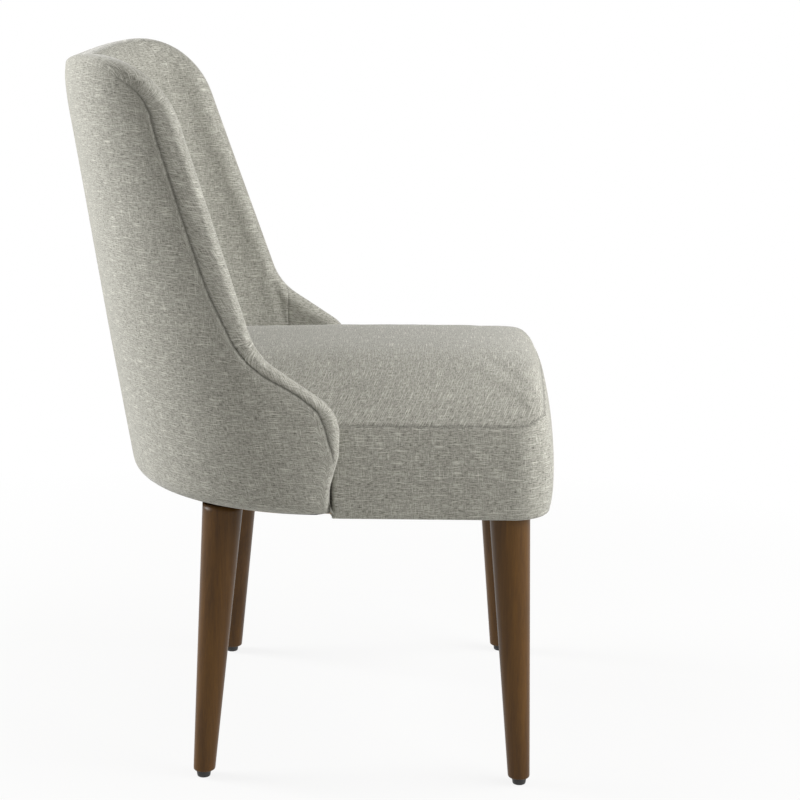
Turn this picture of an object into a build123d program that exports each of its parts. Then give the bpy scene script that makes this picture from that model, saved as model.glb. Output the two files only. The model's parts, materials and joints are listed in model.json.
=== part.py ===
from build123d import *
from functools import cache
import math
import os

# Upholstered side chair: a padded back that wraps round the sitter, a boxed seat and four turned legs.
# Millimetres. +Z is up, the sitter faces -Y and the sitter's left is +X. The origin is on the floor,
# under the middle of the chair.

# Levels and soft clearances
UNDERSIDE_Z = 336.0
BACK_HEIGHT = 529.0
FABRIC = 1.5
SOFT_GAP = 0.3

# Plan of the back: half an ellipse behind, straight cheeks in front
REAR_Y = 222.0
BACK_LEAN = 8.9
CHEEK_Y = -17.0
CHEEK_LEAN = 21.5
FOOT_HALF_WIDTH = 256.0
WIDEST_HALF_WIDTH = 268.0
WIDEST_HEIGHT = 104.0
SHOULDER_HALF_WIDTH = 256.0
SHOULDER_HEIGHT = 264.0
TOP_HALF_WIDTH = 233.0

# Side outline of the back: level top, sloping wing, crook, short arm and nose
WING_TOP_Y = 169.0
WING_TOP_RADIUS = 95.0
CROOK_Y = 54.0
CROOK_HEIGHT = 189.0
CROOK_RADIUS = 78.0
NOSE_Y = -44.0
NOSE_HEIGHT = 132.0
NOSE_RADIUS = 40.0
WING_FOOT_Y = -33.0

# Layers of the back, from the outer fabric inwards, and its edges
OUTER_WADDING = 6.0
PLYWOOD = 11.0
INNER_FOAM = 16.0
PLYWOOD_SETBACK = 20.0
PLYWOOD_LIFT = 8.0
EDGE_ROLL_SHARE = 0.4
EDGE_SEAM_SETBACK = 18.0
WING_SEAM_Y = 41.0
HEM_RADIUS = 8.0

# Seat frame
RAIL_HEIGHT = 46.0
RAIL_THICKNESS = 20.0
RAIL_INSET = 12.0
BLOCK_SIZE = 64.0
DECK_THICKNESS = 12.0
FLANGE_WIDTH = 22.0

# Seat: plan, swelling band and crown. Each crown station is a distance behind the front and the share
# of the full crown that is reached there.
SEAT_HALF_WIDTH = 248.0
SEAT_FRONT_Y = -303.0
SEAT_FRONT_BOW = 10.0
SEAT_CORNER_RADIUS = 45.0
BAND_FOOT_DRAW_IN = 9.0
BAND_HEM_HEIGHT = 16.0
BAND_HEM_DRAW_IN = 2.5
BAND_BELLY_HEIGHT = 49.0
BAND_SEAM_DRAW_IN = 6.0
SEAT_EDGE_HEIGHT = 108.0
SEAT_CROWN = 64.0
CROWN_FLAT_HALF_WIDTH = 170.0
CROWN_FLAT_SHARE = 0.70
CROWN_SHOULDER_HALF_WIDTH = 216.0
CROWN_SHOULDER_SHARE = 0.40
CROWN_STATIONS = ((-10.0, 0.34), (30.0, 0.72), (90.0, 0.97), (190.0, 1.0), (350.0, 0.98), (560.0, 0.86))

# Legs and glides
LEG_TOP_DIAMETER = 49.0
LEG_FOOT_DIAMETER = 26.5
LEG_FOOT_CHAMFER = 1.5
FRONT_LEG_INSET_X = 42.0
FRONT_LEG_INSET_Y = 58.0
FRONT_LEG_SPLAY_X = 28.5
FRONT_LEG_SPLAY_Y = 17.5
REAR_LEG_INSET = 34.0
REAR_LEG_BEARING = 34.0
REAR_LEG_SPLAY_X = 36.5
REAR_LEG_SPLAY_Y = 23.0
GLIDE_HEIGHT = 8.5
GLIDE_TOP_DIAMETER = 18.0
GLIDE_FOOT_DIAMETER = 16.0
GLIDE_EDGE = 1.0

# Fasteners
LEG_BOLT_DIAMETER = 8.0
LEG_BOLT_IN_LEG = 50.0
LEG_NUT_BARREL = 11.0
LEG_NUT_LENGTH = 12.0
BACK_BOLT_DIAMETER = 6.0
BACK_BOLT_HEAD_DIAMETER = 12.0
BACK_BOLT_HEAD_HEIGHT = 4.0
BACK_BOLT_BEARINGS = (12.0, 72.0, 108.0, 168.0)
BACK_NUT_BARREL = 8.0
SPOT_FACE = 3.0
NUT_FLANGE_DIAMETER = 19.0
NUT_FLANGE_THICKNESS = 1.6
DOWEL_DIAMETER = 8.0
DOWEL_LENGTH = 32.0
DOWEL_SPACING = 24.0
SCREW_DIAMETER = 4.0
SCREW_HEAD_DIAMETER = 8.0
SCREW_LENGTH = 35.0
FRONT_SCREW_X = 100.0
SIDE_SCREW_YS = (-150.0, -60.0)
REAR_SCREW_BEARING = 30.0
NAIL_DIAMETER = 2.6
NAIL_HEAD_DIAMETER = 7.0
NAIL_HEAD_HEIGHT = 1.2
NAIL_LENGTH = 20.0
NAIL_RECESS = 3.0

# Sizes that follow
BACK_TOP_Z = UNDERSIDE_Z + BACK_HEIGHT
FRAME_Z = UNDERSIDE_Z + FABRIC
PLYWOOD_FOOT_Z = FRAME_Z + PLYWOOD_LIFT
RAIL_TOP_Z = FRAME_Z + RAIL_HEIGHT
DECK_TOP_Z = RAIL_TOP_Z + DECK_THICKNESS
SEAT_EDGE_Z = UNDERSIDE_Z + SEAT_EDGE_HEIGHT
PLYWOOD_OUTER = FABRIC + OUTER_WADDING
PLYWOOD_INNER = PLYWOOD_OUTER + PLYWOOD
PAD_THICKNESS = PLYWOOD_INNER + INNER_FOAM + FABRIC
ROLL_RADIUS = EDGE_ROLL_SHARE * PAD_THICKNESS
RAIL_MIDDLE = RAIL_INSET + RAIL_THICKNESS / 2
RAIL_MIDDLE_Z = FRAME_Z + RAIL_HEIGHT / 2
FRONT_LEG_X = SEAT_HALF_WIDTH - FRONT_LEG_INSET_X
FRONT_LEG_Y = SEAT_FRONT_Y + FRONT_LEG_INSET_Y
SIDES = (("left", 1, REAR_LEG_BEARING), ("right", -1, 180 - REAR_LEG_BEARING))
LEG_NUT_TOP = FABRIC + RAIL_HEIGHT
BACK_NUT_LENGTH = PLYWOOD - 2 * SPOT_FACE
BACK_NUT_FACE = RAIL_THICKNESS - SPOT_FACE + PLYWOOD - SPOT_FACE
OVERRUN = PLYWOOD_INNER + RAIL_THICKNESS
BEYOND = 2 * (WIDEST_HALF_WIDTH + REAR_Y)


def rear_y(z):
    """Rear of the back on the centre line: a straight lean."""
    return REAR_Y + math.tan(math.radians(BACK_LEAN)) * (z - UNDERSIDE_Z)


def cheek_y(z):
    """Where the straight cheeks turn into the rear curve, further back with height."""
    return CHEEK_Y + math.tan(math.radians(CHEEK_LEAN)) * (z - UNDERSIDE_Z)


def stretch(low, low_z, high, high_z, z):
    """Straight line through two sizes at two levels, read off at a third level."""
    return low + (high - low) * (z - low_z) / (high_z - low_z)


def back_stations():
    """Levels of the back's plan sections, each with its half width."""
    widest_z = UNDERSIDE_Z + WIDEST_HEIGHT
    shoulder_z = UNDERSIDE_Z + SHOULDER_HEIGHT
    low_z = UNDERSIDE_Z - OVERRUN
    high_z = BACK_TOP_Z + OVERRUN
    low = stretch(FOOT_HALF_WIDTH, UNDERSIDE_Z, WIDEST_HALF_WIDTH, widest_z, low_z)
    high = stretch(SHOULDER_HALF_WIDTH, shoulder_z, TOP_HALF_WIDTH, BACK_TOP_Z, high_z)
    return (
        (low_z, low),
        (widest_z, WIDEST_HALF_WIDTH),
        (shoulder_z, SHOULDER_HALF_WIDTH),
        (high_z, high),
    )


@cache
def plan_form(inset):
    """Everything inside the back's outer face, drawn in by an inset and run out to the front."""
    front = 2 * SEAT_FRONT_Y
    with BuildPart() as form:
        for z, half_width in back_stations():
            centre = (0, cheek_y(z))
            across = half_width - inset
            along = rear_y(z) - cheek_y(z) - inset
            with BuildSketch(Plane.XY.offset(z)):
                with BuildLine():
                    left = EllipticalCenterArc(centre, across, along, 0, arc_size=90)
                    right = EllipticalCenterArc(centre, across, along, 90, arc_size=90)
                    Polyline(right @ 1, (-across, front), (across, front), left @ 0)
                make_face()
        loft()
    return form.part


@cache
def wing_prism(inset):
    """Everything behind and below the back's side outline, drawn in by an inset."""
    lean = (WING_FOOT_Y - NOSE_Y) / NOSE_HEIGHT
    drop = BEYOND / 4
    with BuildPart() as prism:
        with BuildSketch(Plane.YZ):
            with BuildLine():
                outline = FilletPolyline(
                    (BEYOND, BACK_TOP_Z),
                    (WING_TOP_Y, BACK_TOP_Z),
                    (CROOK_Y, UNDERSIDE_Z + CROOK_HEIGHT),
                    (NOSE_Y, UNDERSIDE_Z + NOSE_HEIGHT),
                    (WING_FOOT_Y + lean * drop, UNDERSIDE_Z - drop),
                    radius=(WING_TOP_RADIUS, CROOK_RADIUS, NOSE_RADIUS),
                )
                Polyline(outline @ 1, (BEYOND, UNDERSIDE_Z - drop), outline @ 0)
            make_face()
            if inset:
                offset(amount=-inset, kind=Kind.INTERSECTION, mode=Mode.REPLACE)
        extrude(amount=BEYOND / 2, both=True)
    return prism.part


@cache
def slab(low_z, high_z):
    """A wide level slab between two levels."""
    with BuildPart() as layer:
        with BuildSketch(Plane.XY.offset(low_z)):
            Rectangle(2 * BEYOND, 2 * BEYOND)
        extrude(amount=high_z - low_z)
    return layer.part


@cache
def back_body(inset):
    """The padded back drawn in by an inset all over, with its rolled edge and soft hem."""
    with BuildPart() as body:
        add(plan_form(inset))
        add(plan_form(PAD_THICKNESS - inset), mode=Mode.SUBTRACT)
        add(wing_prism(inset), mode=Mode.INTERSECT)
        add(slab(UNDERSIDE_Z + inset, 2 * BACK_TOP_Z), mode=Mode.INTERSECT)
        hem = body.faces().sort_by(Axis.Z)[0]
        edge_faces = body.faces().filter_by(lambda face: abs(face.normal_at().X) < 1e-6 and face != hem)
        fillet(edge_faces.edges().filter_by(GeomType.BSPLINE), ROLL_RADIUS - inset)
        fillet(body.faces().sort_by(Axis.Z)[0].edges(), HEM_RADIUS - inset)
    return body.part


@cache
def seat_pocket():
    """The space inside the plywood, below the deck's top, that the seat frame fills."""
    with BuildPart() as pocket:
        add(plan_form(PLYWOOD_INNER))
        add(slab(UNDERSIDE_Z - OVERRUN, DECK_TOP_Z), mode=Mode.INTERSECT)
    return pocket.part


def seat_plan(inset, z):
    """Plan of the seat at a level: bowed front, rounded front corners, sides run out behind."""
    half = SEAT_HALF_WIDTH - inset
    front = SEAT_FRONT_Y + inset
    with BuildSketch(Plane.XY.offset(z)) as plan:
        with BuildLine():
            bow = ThreePointArc((-half, front + SEAT_FRONT_BOW), (0, front), (half, front + SEAT_FRONT_BOW))
            Polyline(bow @ 1, (half, 2 * REAR_Y), (-half, 2 * REAR_Y), bow @ 0)
        make_face()
        fillet(plan.vertices().group_by(Axis.Y)[0], SEAT_CORNER_RADIUS - inset)
    return plan.sketch


def seat_column(inset, low_z, high_z):
    """Upright column on the seat's plan between two levels."""
    with BuildPart() as column:
        add(seat_plan(inset, low_z))
        extrude(amount=high_z - low_z)
    return column.part


@cache
def seat_block(inset):
    """The boxed seat below its crown: the band swells at its belly and is drawn in at hem and seam."""
    above_z = SEAT_EDGE_Z + SEAT_CROWN + OVERRUN
    belly_z = UNDERSIDE_Z + BAND_BELLY_HEIGHT
    above_draw_in = stretch(0, belly_z, BAND_SEAM_DRAW_IN, SEAT_EDGE_Z, above_z)
    sections = (
        (UNDERSIDE_Z, BAND_FOOT_DRAW_IN),
        (UNDERSIDE_Z + BAND_HEM_HEIGHT, BAND_HEM_DRAW_IN),
        (belly_z, 0),
        (SEAT_EDGE_Z, BAND_SEAM_DRAW_IN),
        (above_z, above_draw_in),
    )
    with BuildPart() as block:
        loft(sections=[seat_plan(inset + draw_in, z).face() for z, draw_in in sections])
    return block.part


@cache
def seat_roof(drop):
    """Everything below the seat's crown: three arcs across, carried from front to rear."""
    edge_z = SEAT_EDGE_Z - drop
    low_z = UNDERSIDE_Z - OVERRUN
    with BuildPart() as roof:
        for behind_front, share in CROWN_STATIONS:
            crown = SEAT_CROWN * share
            flat_z = edge_z + CROWN_FLAT_SHARE * crown
            shoulder_z = edge_z + CROWN_SHOULDER_SHARE * crown
            flat_end = (CROWN_FLAT_HALF_WIDTH, flat_z)
            far_end = (-CROWN_FLAT_HALF_WIDTH, flat_z)
            edge = (SEAT_HALF_WIDTH, edge_z)
            far_edge = (-SEAT_HALF_WIDTH, edge_z)
            with BuildSketch(Plane.XZ.offset(-SEAT_FRONT_Y - behind_front)):
                with BuildLine():
                    ThreePointArc(edge, (CROWN_SHOULDER_HALF_WIDTH, shoulder_z), flat_end)
                    ThreePointArc(flat_end, (0, edge_z + crown), far_end)
                    ThreePointArc(far_end, (-CROWN_SHOULDER_HALF_WIDTH, shoulder_z), far_edge)
                    Polyline(far_edge, (-SEAT_HALF_WIDTH, low_z), (SEAT_HALF_WIDTH, low_z), edge)
                make_face()
        loft()
    return roof.part


@cache
def seat_pad(inset):
    """The seat above its deck, drawn in at crown and band by an inset, between and before the wings."""
    with BuildPart() as pad:
        add(seat_block(inset))
        add(seat_roof(inset), mode=Mode.INTERSECT)
        add(slab(DECK_TOP_Z, 2 * BACK_TOP_Z), mode=Mode.INTERSECT)
        add(plan_form(PLYWOOD_OUTER), mode=Mode.INTERSECT)
        add(back_body(-SOFT_GAP), mode=Mode.SUBTRACT)
    return pad.part


@cache
def seat_skirt(inset):
    """The boxed seat below its deck, drawn in by an inset, before the wings."""
    with BuildPart() as skirt:
        add(seat_block(inset))
        add(slab(UNDERSIDE_Z + inset, DECK_TOP_Z), mode=Mode.INTERSECT)
        add(wing_prism(-SOFT_GAP - inset), mode=Mode.SUBTRACT)
    return skirt.part


@cache
def frame_form(inset, low_z, high_z):
    """Plan of the seat frame between two levels: the seat's plan in front, the plywood's inside behind."""
    with BuildPart() as form:
        add(seat_column(RAIL_INSET + inset, low_z, high_z))
        add(plan_form(PLYWOOD_INNER + inset), mode=Mode.INTERSECT)
    return form.part


def front_rail_y(x):
    """Middle of the bowed front rail at a distance from the centre line."""
    return SEAT_FRONT_Y + RAIL_MIDDLE + SEAT_FRONT_BOW * (x / SEAT_HALF_WIDTH) ** 2


def rear_frame(bearing, inset, z):
    """Plane on the back's plan at a bearing from +X: its x axis points outwards, its z axis up."""
    widest_z = UNDERSIDE_Z + WIDEST_HEIGHT
    across = stretch(FOOT_HALF_WIDTH, UNDERSIDE_Z, WIDEST_HALF_WIDTH, widest_z, z) - inset
    along = rear_y(z) - cheek_y(z) - inset
    turn = math.radians(bearing)
    origin = (across * math.cos(turn), cheek_y(z) + along * math.sin(turn), z)
    outwards = (math.cos(turn) / across, math.sin(turn) / along, 0)
    return Plane(origin=origin, x_dir=outwards, z_dir=(0, 0, 1))


def leg_corners():
    """Each leg's name, the plane of its top, its splay, and its block's plane and size across and along."""
    half = BLOCK_SIZE / 2
    corners = []
    for side, sign, bearing in SIDES:
        front_top = Plane(origin=(sign * FRONT_LEG_X, FRONT_LEG_Y, UNDERSIDE_Z))
        front_block = Plane(origin=(sign * (FRONT_LEG_X + half), FRONT_LEG_Y - half, FRAME_Z))
        front_splay = (sign * FRONT_LEG_SPLAY_X, -FRONT_LEG_SPLAY_Y)
        corners.append((f"front_{side}", front_top, front_splay, front_block, 2 * BLOCK_SIZE))
        rear_top = rear_frame(bearing, REAR_LEG_INSET, UNDERSIDE_Z)
        outwards = rear_top.origin + rear_top.x_dir * half + Vector(0, 0, FABRIC)
        rear_block = Plane(origin=outwards, x_dir=rear_top.x_dir, z_dir=(0, 0, 1))
        rear_splay = (sign * REAR_LEG_SPLAY_X, REAR_LEG_SPLAY_Y)
        corners.append((f"rear_{side}", rear_top, rear_splay, rear_block, BLOCK_SIZE))
    return corners


def block_prism(plane, along):
    """Upright prism that parts a corner block from the rails."""
    with BuildPart() as prism:
        with BuildSketch(plane):
            Rectangle(2 * BLOCK_SIZE, along)
        extrude(amount=RAIL_HEIGHT)
    return prism.part


def rods(planes, diameter, start, end):
    """Round rods along the z axes of some planes, between two distances along them."""
    with BuildPart() as group:
        for plane in planes:
            with BuildSketch(plane.offset(start)):
                Circle(diameter / 2)
            extrude(amount=end - start)
    return group.part


def dowel_planes():
    """A pair of dowels, one above the other, where each rail meets a corner block."""
    half = BLOCK_SIZE / 2
    inner_x = FRONT_LEG_X - half
    ring_sag = half**2 / (FOOT_HALF_WIDTH + REAR_Y)
    joints = []
    for _, sign, bearing in SIDES:
        joints.append((sign * (SEAT_HALF_WIDTH - RAIL_MIDDLE), FRONT_LEG_Y + half, Vector(0, 1, 0)))
        joints.append((sign * inner_x, front_rail_y(inner_x), Vector(1, 0, 0)))
        leg = rear_frame(bearing, REAR_LEG_INSET, UNDERSIDE_Z)
        rail = rear_frame(bearing, PLYWOOD_INNER + RAIL_THICKNESS / 2, RAIL_MIDDLE_Z)
        outwards = (rail.origin - leg.origin).dot(leg.x_dir) - ring_sag
        middle = leg.origin + leg.x_dir * outwards
        for end in (middle - leg.y_dir * half, middle + leg.y_dir * half):
            joints.append((end.X, end.Y, leg.y_dir))
    heights = (RAIL_MIDDLE_Z - DOWEL_SPACING / 2, RAIL_MIDDLE_Z + DOWEL_SPACING / 2)
    return [Plane(origin=(x, y, z), z_dir=axis) for x, y, axis in joints for z in heights]


def deck_screw_planes():
    """Screws through the deck into the rails, heads flush with its top."""
    spots = []
    for sign in (-1, 1):
        spots.append((sign * FRONT_SCREW_X, front_rail_y(FRONT_SCREW_X)))
        for y in SIDE_SCREW_YS:
            spots.append((sign * (SEAT_HALF_WIDTH - RAIL_MIDDLE), y))
        rear = rear_frame(90 + sign * REAR_SCREW_BEARING, PLYWOOD_INNER + RAIL_THICKNESS / 2, RAIL_TOP_Z)
        spots.append((rear.origin.X, rear.origin.Y))
    return [Plane(origin=(x, y, DECK_TOP_Z)) for x, y in spots]


def back_bolt_planes():
    """Bolts from inside the rails out through the plywood, each on a flat seat sunk in the rail."""
    planes = []
    for bearing in BACK_BOLT_BEARINGS:
        seat = rear_frame(bearing, PLYWOOD_INNER + RAIL_THICKNESS - SPOT_FACE, RAIL_MIDDLE_Z)
        planes.append(Plane(origin=seat.origin, z_dir=seat.x_dir))
    return planes


def save_piece(piece, name):
    """Labels a finished piece and writes it out."""
    piece.label = name
    export_step(piece, f"parts/{name}.step")


os.makedirs("parts", exist_ok=True)

# Fasteners, made first because other pieces are bored for them
leg_axes = [Plane(origin=top.origin) for _, top, _, _, _ in leg_corners()]
back_axes = back_bolt_planes()
screw_axes = deck_screw_planes()

with BuildPart() as leg_bolts:
    add(rods(leg_axes, LEG_BOLT_DIAMETER, -LEG_BOLT_IN_LEG, LEG_NUT_TOP))
save_piece(leg_bolts.part, "leg_bolts")

with BuildPart() as leg_nuts:
    add(rods(leg_axes, LEG_NUT_BARREL, LEG_NUT_TOP - LEG_NUT_LENGTH, LEG_NUT_TOP))
    add(rods(leg_axes, NUT_FLANGE_DIAMETER, LEG_NUT_TOP - NUT_FLANGE_THICKNESS, LEG_NUT_TOP))
    add(leg_bolts.part, mode=Mode.SUBTRACT)
save_piece(leg_nuts.part, "leg_nuts")

with BuildPart() as back_bolts:
    add(rods(back_axes, BACK_BOLT_DIAMETER, 0, BACK_NUT_FACE))
    add(rods(back_axes, BACK_BOLT_HEAD_DIAMETER, -BACK_BOLT_HEAD_HEIGHT, 0))
save_piece(back_bolts.part, "back_bolts")

with BuildPart() as back_nuts:
    add(rods(back_axes, BACK_NUT_BARREL, BACK_NUT_FACE - BACK_NUT_LENGTH, BACK_NUT_FACE))
    add(rods(back_axes, NUT_FLANGE_DIAMETER, BACK_NUT_FACE - NUT_FLANGE_THICKNESS, BACK_NUT_FACE))
    add(back_bolts.part, mode=Mode.SUBTRACT)
save_piece(back_nuts.part, "back_nuts")

with BuildPart() as frame_dowels:
    add(rods(dowel_planes(), DOWEL_DIAMETER, -DOWEL_LENGTH / 2, DOWEL_LENGTH / 2))
save_piece(frame_dowels.part, "frame_dowels")

with BuildPart() as deck_screws:
    add(rods(screw_axes, SCREW_DIAMETER, -SCREW_LENGTH, 0))
    with Locations(*screw_axes):
        Cone(
            SCREW_DIAMETER / 2,
            SCREW_HEAD_DIAMETER / 2,
            SCREW_HEAD_DIAMETER / 2,
            align=(Align.CENTER, Align.CENTER, Align.MAX),
        )
save_piece(deck_screws.part, "deck_screws")

# Back: bent plywood, wadding that turns under its foot, foam and four covers
with BuildPart() as plywood_zone:
    add(plan_form(PLYWOOD_OUTER))
    add(slab(PLYWOOD_FOOT_Z, 2 * BACK_TOP_Z), mode=Mode.INTERSECT)

with BuildPart() as back_shell:
    add(plywood_zone.part)
    add(plan_form(PLYWOOD_INNER), mode=Mode.SUBTRACT)
    add(wing_prism(PLYWOOD_SETBACK), mode=Mode.INTERSECT)

with BuildPart() as back_padding:
    add(back_body(FABRIC))
    add(seat_pocket(), mode=Mode.SUBTRACT)

with BuildPart() as back_outer_wadding:
    add(back_padding.part)
    add(plywood_zone.part, mode=Mode.SUBTRACT)
save_piece(back_outer_wadding.part, "back_outer_wadding")

with BuildPart() as back_inner_foam:
    add(back_padding.part)
    add(plywood_zone.part, mode=Mode.INTERSECT)
    add(back_shell.part, mode=Mode.SUBTRACT)
save_piece(back_inner_foam.part, "back_inner_foam")

flange_seat = BACK_NUT_FACE - NUT_FLANGE_THICKNESS
with BuildPart() as bored_back_shell:
    add(back_shell.part)
    add(rods(back_axes, BACK_NUT_BARREL, 0, OVERRUN), mode=Mode.SUBTRACT)
    add(rods(back_axes, NUT_FLANGE_DIAMETER, flange_seat, OVERRUN), mode=Mode.SUBTRACT)
save_piece(bored_back_shell.part, "back_shell")

with BuildPart() as back_skin:
    add(back_body(0))
    add(back_body(FABRIC), mode=Mode.SUBTRACT)
    add(seat_pocket(), mode=Mode.SUBTRACT)

with BuildPart() as outer_zone:
    add(wing_prism(EDGE_SEAM_SETBACK))
    add(plan_form(PAD_THICKNESS / 2), mode=Mode.SUBTRACT)
    add(slab(UNDERSIDE_Z - OVERRUN, DECK_TOP_Z))

with BuildPart() as back_outer_cover:
    add(back_skin.part)
    add(outer_zone.part, mode=Mode.INTERSECT)
save_piece(back_outer_cover.part, "back_outer_cover")

with BuildPart() as inner_skin:
    add(back_skin.part)
    add(outer_zone.part, mode=Mode.SUBTRACT)
wing_seam = Plane.XZ.offset(-WING_SEAM_Y)

with BuildPart() as back_inner_cover:
    add(inner_skin.part)
    split(bisect_by=wing_seam, keep=Keep.BOTTOM)
save_piece(back_inner_cover.part, "back_inner_cover")

for name, keep in (("left_wing_cover", Keep.TOP), ("right_wing_cover", Keep.BOTTOM)):
    with BuildPart() as wing_cover:
        add(inner_skin.part)
        split(bisect_by=wing_seam, keep=Keep.TOP)
        split(bisect_by=Plane.YZ, keep=keep)
    save_piece(wing_cover.part, name)

# Seat: foam, wadding, two covers and the cloth underneath
with BuildPart() as seat_foam:
    add(seat_pad(FABRIC))
save_piece(seat_foam.part, "seat_foam")

with BuildPart() as seat_wadding:
    add(seat_skirt(FABRIC))
    add(frame_form(0, FRAME_Z, DECK_TOP_Z), mode=Mode.SUBTRACT)
save_piece(seat_wadding.part, "seat_wadding")

with BuildPart() as seat_top_cover:
    add(seat_pad(0))
    add(seat_roof(FABRIC), mode=Mode.SUBTRACT)
save_piece(seat_top_cover.part, "seat_top_cover")

with BuildPart() as upper_band:
    add(seat_pad(0))
    add(seat_roof(FABRIC), mode=Mode.INTERSECT)
    add(seat_foam.part, mode=Mode.SUBTRACT)

with BuildPart() as seat_band_cover:
    add(seat_skirt(0))
    add(seat_skirt(FABRIC), mode=Mode.SUBTRACT)
    add(frame_form(0, FRAME_Z, DECK_TOP_Z), mode=Mode.SUBTRACT)
    add(seat_column(FLANGE_WIDTH, UNDERSIDE_Z, FRAME_Z), mode=Mode.SUBTRACT)
    add(upper_band.part)
save_piece(seat_band_cover.part, "seat_band_cover")

with BuildPart() as rear_cloth:
    add(frame_form(0, UNDERSIDE_Z, FRAME_Z))
    add(wing_prism(0), mode=Mode.INTERSECT)

with BuildPart() as dust_cover:
    add(seat_column(FLANGE_WIDTH, UNDERSIDE_Z, FRAME_Z))
    add(plan_form(PLYWOOD_INNER), mode=Mode.INTERSECT)
    add(rear_cloth.part)
    add(leg_bolts.part, mode=Mode.SUBTRACT)
save_piece(dust_cover.part, "dust_cover")

# Seat frame: four rails between four corner blocks, with a plywood deck on top
with BuildPart() as ring:
    add(frame_form(0, FRAME_Z, RAIL_TOP_Z))
    add(frame_form(RAIL_THICKNESS, FRAME_Z, RAIL_TOP_Z), mode=Mode.SUBTRACT)
    for _, _, _, plane, along in leg_corners():
        add(block_prism(plane, along), mode=Mode.SUBTRACT)
front_to_rear = ring.solids().sort_by(Axis.Y)
right_to_left = ring.solids().sort_by(Axis.X)
rails = {
    "front_rail": front_to_rear[0],
    "rear_rail": front_to_rear[-1],
    "left_rail": right_to_left[-1],
    "right_rail": right_to_left[0],
}
for name, solid in rails.items():
    with BuildPart() as rail:
        add(solid)
        add(frame_dowels.part, mode=Mode.SUBTRACT)
        add(deck_screws.part, mode=Mode.SUBTRACT)
        add(rods(back_axes, BACK_BOLT_DIAMETER, 0, OVERRUN), mode=Mode.SUBTRACT)
        add(rods(back_axes, BACK_BOLT_HEAD_DIAMETER, -OVERRUN, 0), mode=Mode.SUBTRACT)
    save_piece(rail.part, name)

for name, _, _, plane, along in leg_corners():
    with BuildPart() as block:
        add(frame_form(0, FRAME_Z, RAIL_TOP_Z))
        add(block_prism(plane, along), mode=Mode.INTERSECT)
        add(frame_dowels.part, mode=Mode.SUBTRACT)
        add(leg_bolts.part, mode=Mode.SUBTRACT)
        add(leg_nuts.part, mode=Mode.SUBTRACT)
    save_piece(block.part, f"{name}_block")

with BuildPart() as seat_deck:
    add(frame_form(0, RAIL_TOP_Z, DECK_TOP_Z))
    add(deck_screws.part, mode=Mode.SUBTRACT)
save_piece(seat_deck.part, "seat_deck")

# Legs, turned to a plain taper and cut level at both ends, on nailed glides
flare = (LEG_TOP_DIAMETER - LEG_FOOT_DIAMETER) / 2 / (UNDERSIDE_Z - GLIDE_HEIGHT)
low_radius = LEG_FOOT_DIAMETER / 2 - flare * (GLIDE_HEIGHT + OVERRUN)
high_radius = LEG_TOP_DIAMETER / 2 + flare * OVERRUN
standing = (Align.CENTER, Align.CENTER, Align.MIN)
glide_axes = []
for name, top, splay, _, _ in leg_corners():
    foot = Vector(top.origin.X + splay[0], top.origin.Y + splay[1], 0)
    rise = top.origin - foot
    leg_axis = Plane(origin=foot - rise.normalized() * OVERRUN, z_dir=rise)
    glide_axis = Plane(origin=foot)
    glide_axes.append(glide_axis)
    with BuildPart() as leg:
        with Locations(leg_axis):
            Cone(low_radius, high_radius, rise.length + 2 * OVERRUN, align=standing)
        split(bisect_by=Plane.XY.offset(UNDERSIDE_Z), keep=Keep.BOTTOM)
        split(bisect_by=Plane.XY.offset(GLIDE_HEIGHT), keep=Keep.TOP)
        chamfer(leg.faces().sort_by(Axis.Z)[0].edges(), LEG_FOOT_CHAMFER)
        add(leg_bolts.part, mode=Mode.SUBTRACT)
        add(rods([glide_axis], NAIL_DIAMETER, 0, NAIL_RECESS + NAIL_LENGTH), mode=Mode.SUBTRACT)
    save_piece(leg.part, f"{name}_leg")

    with BuildPart() as glide:
        with Locations(glide_axis):
            Cone(GLIDE_FOOT_DIAMETER / 2, GLIDE_TOP_DIAMETER / 2, GLIDE_HEIGHT, align=standing)
        fillet(glide.faces().sort_by(Axis.Z)[0].edges(), GLIDE_EDGE)
        add(rods([glide_axis], NAIL_HEAD_DIAMETER, 0, NAIL_RECESS), mode=Mode.SUBTRACT)
        add(rods([glide_axis], NAIL_DIAMETER, 0, GLIDE_HEIGHT), mode=Mode.SUBTRACT)
    save_piece(glide.part, f"{name}_glide")

with BuildPart() as glide_nails:
    add(rods(glide_axes, NAIL_DIAMETER, NAIL_RECESS, NAIL_RECESS + NAIL_LENGTH))
    add(rods(glide_axes, NAIL_HEAD_DIAMETER, NAIL_RECESS - NAIL_HEAD_HEIGHT, NAIL_RECESS))
save_piece(glide_nails.part, "glide_nails")
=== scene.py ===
"""Upholstered side chair: sewn covers, turned legs and a plain studio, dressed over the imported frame."""

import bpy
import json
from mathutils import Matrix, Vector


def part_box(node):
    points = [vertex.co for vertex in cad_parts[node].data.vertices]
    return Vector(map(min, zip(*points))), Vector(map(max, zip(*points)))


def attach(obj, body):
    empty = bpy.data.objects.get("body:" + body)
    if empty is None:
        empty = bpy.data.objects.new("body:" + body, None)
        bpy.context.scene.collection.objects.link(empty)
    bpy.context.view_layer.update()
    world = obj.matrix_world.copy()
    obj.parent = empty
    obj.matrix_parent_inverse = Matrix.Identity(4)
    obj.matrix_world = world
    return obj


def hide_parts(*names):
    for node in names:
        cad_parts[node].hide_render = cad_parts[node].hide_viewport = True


bl_info = {
    "name": "Upholstered Side Chair",
    "version": (1, 0, 0),
    "blender": (4, 5, 0),
    "location": "View3D > Sidebar > Side Chair",
    "description": "Makes the covers, legs, glides and studio of an upholstered side chair",
    "category": "Object",
}

import json
import math
from types import SimpleNamespace

import bpy
import numpy as np
from bpy.props import FloatProperty, FloatVectorProperty, PointerProperty
from bpy.types import Operator, Panel, PropertyGroup
from mathutils import Matrix, Vector

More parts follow.
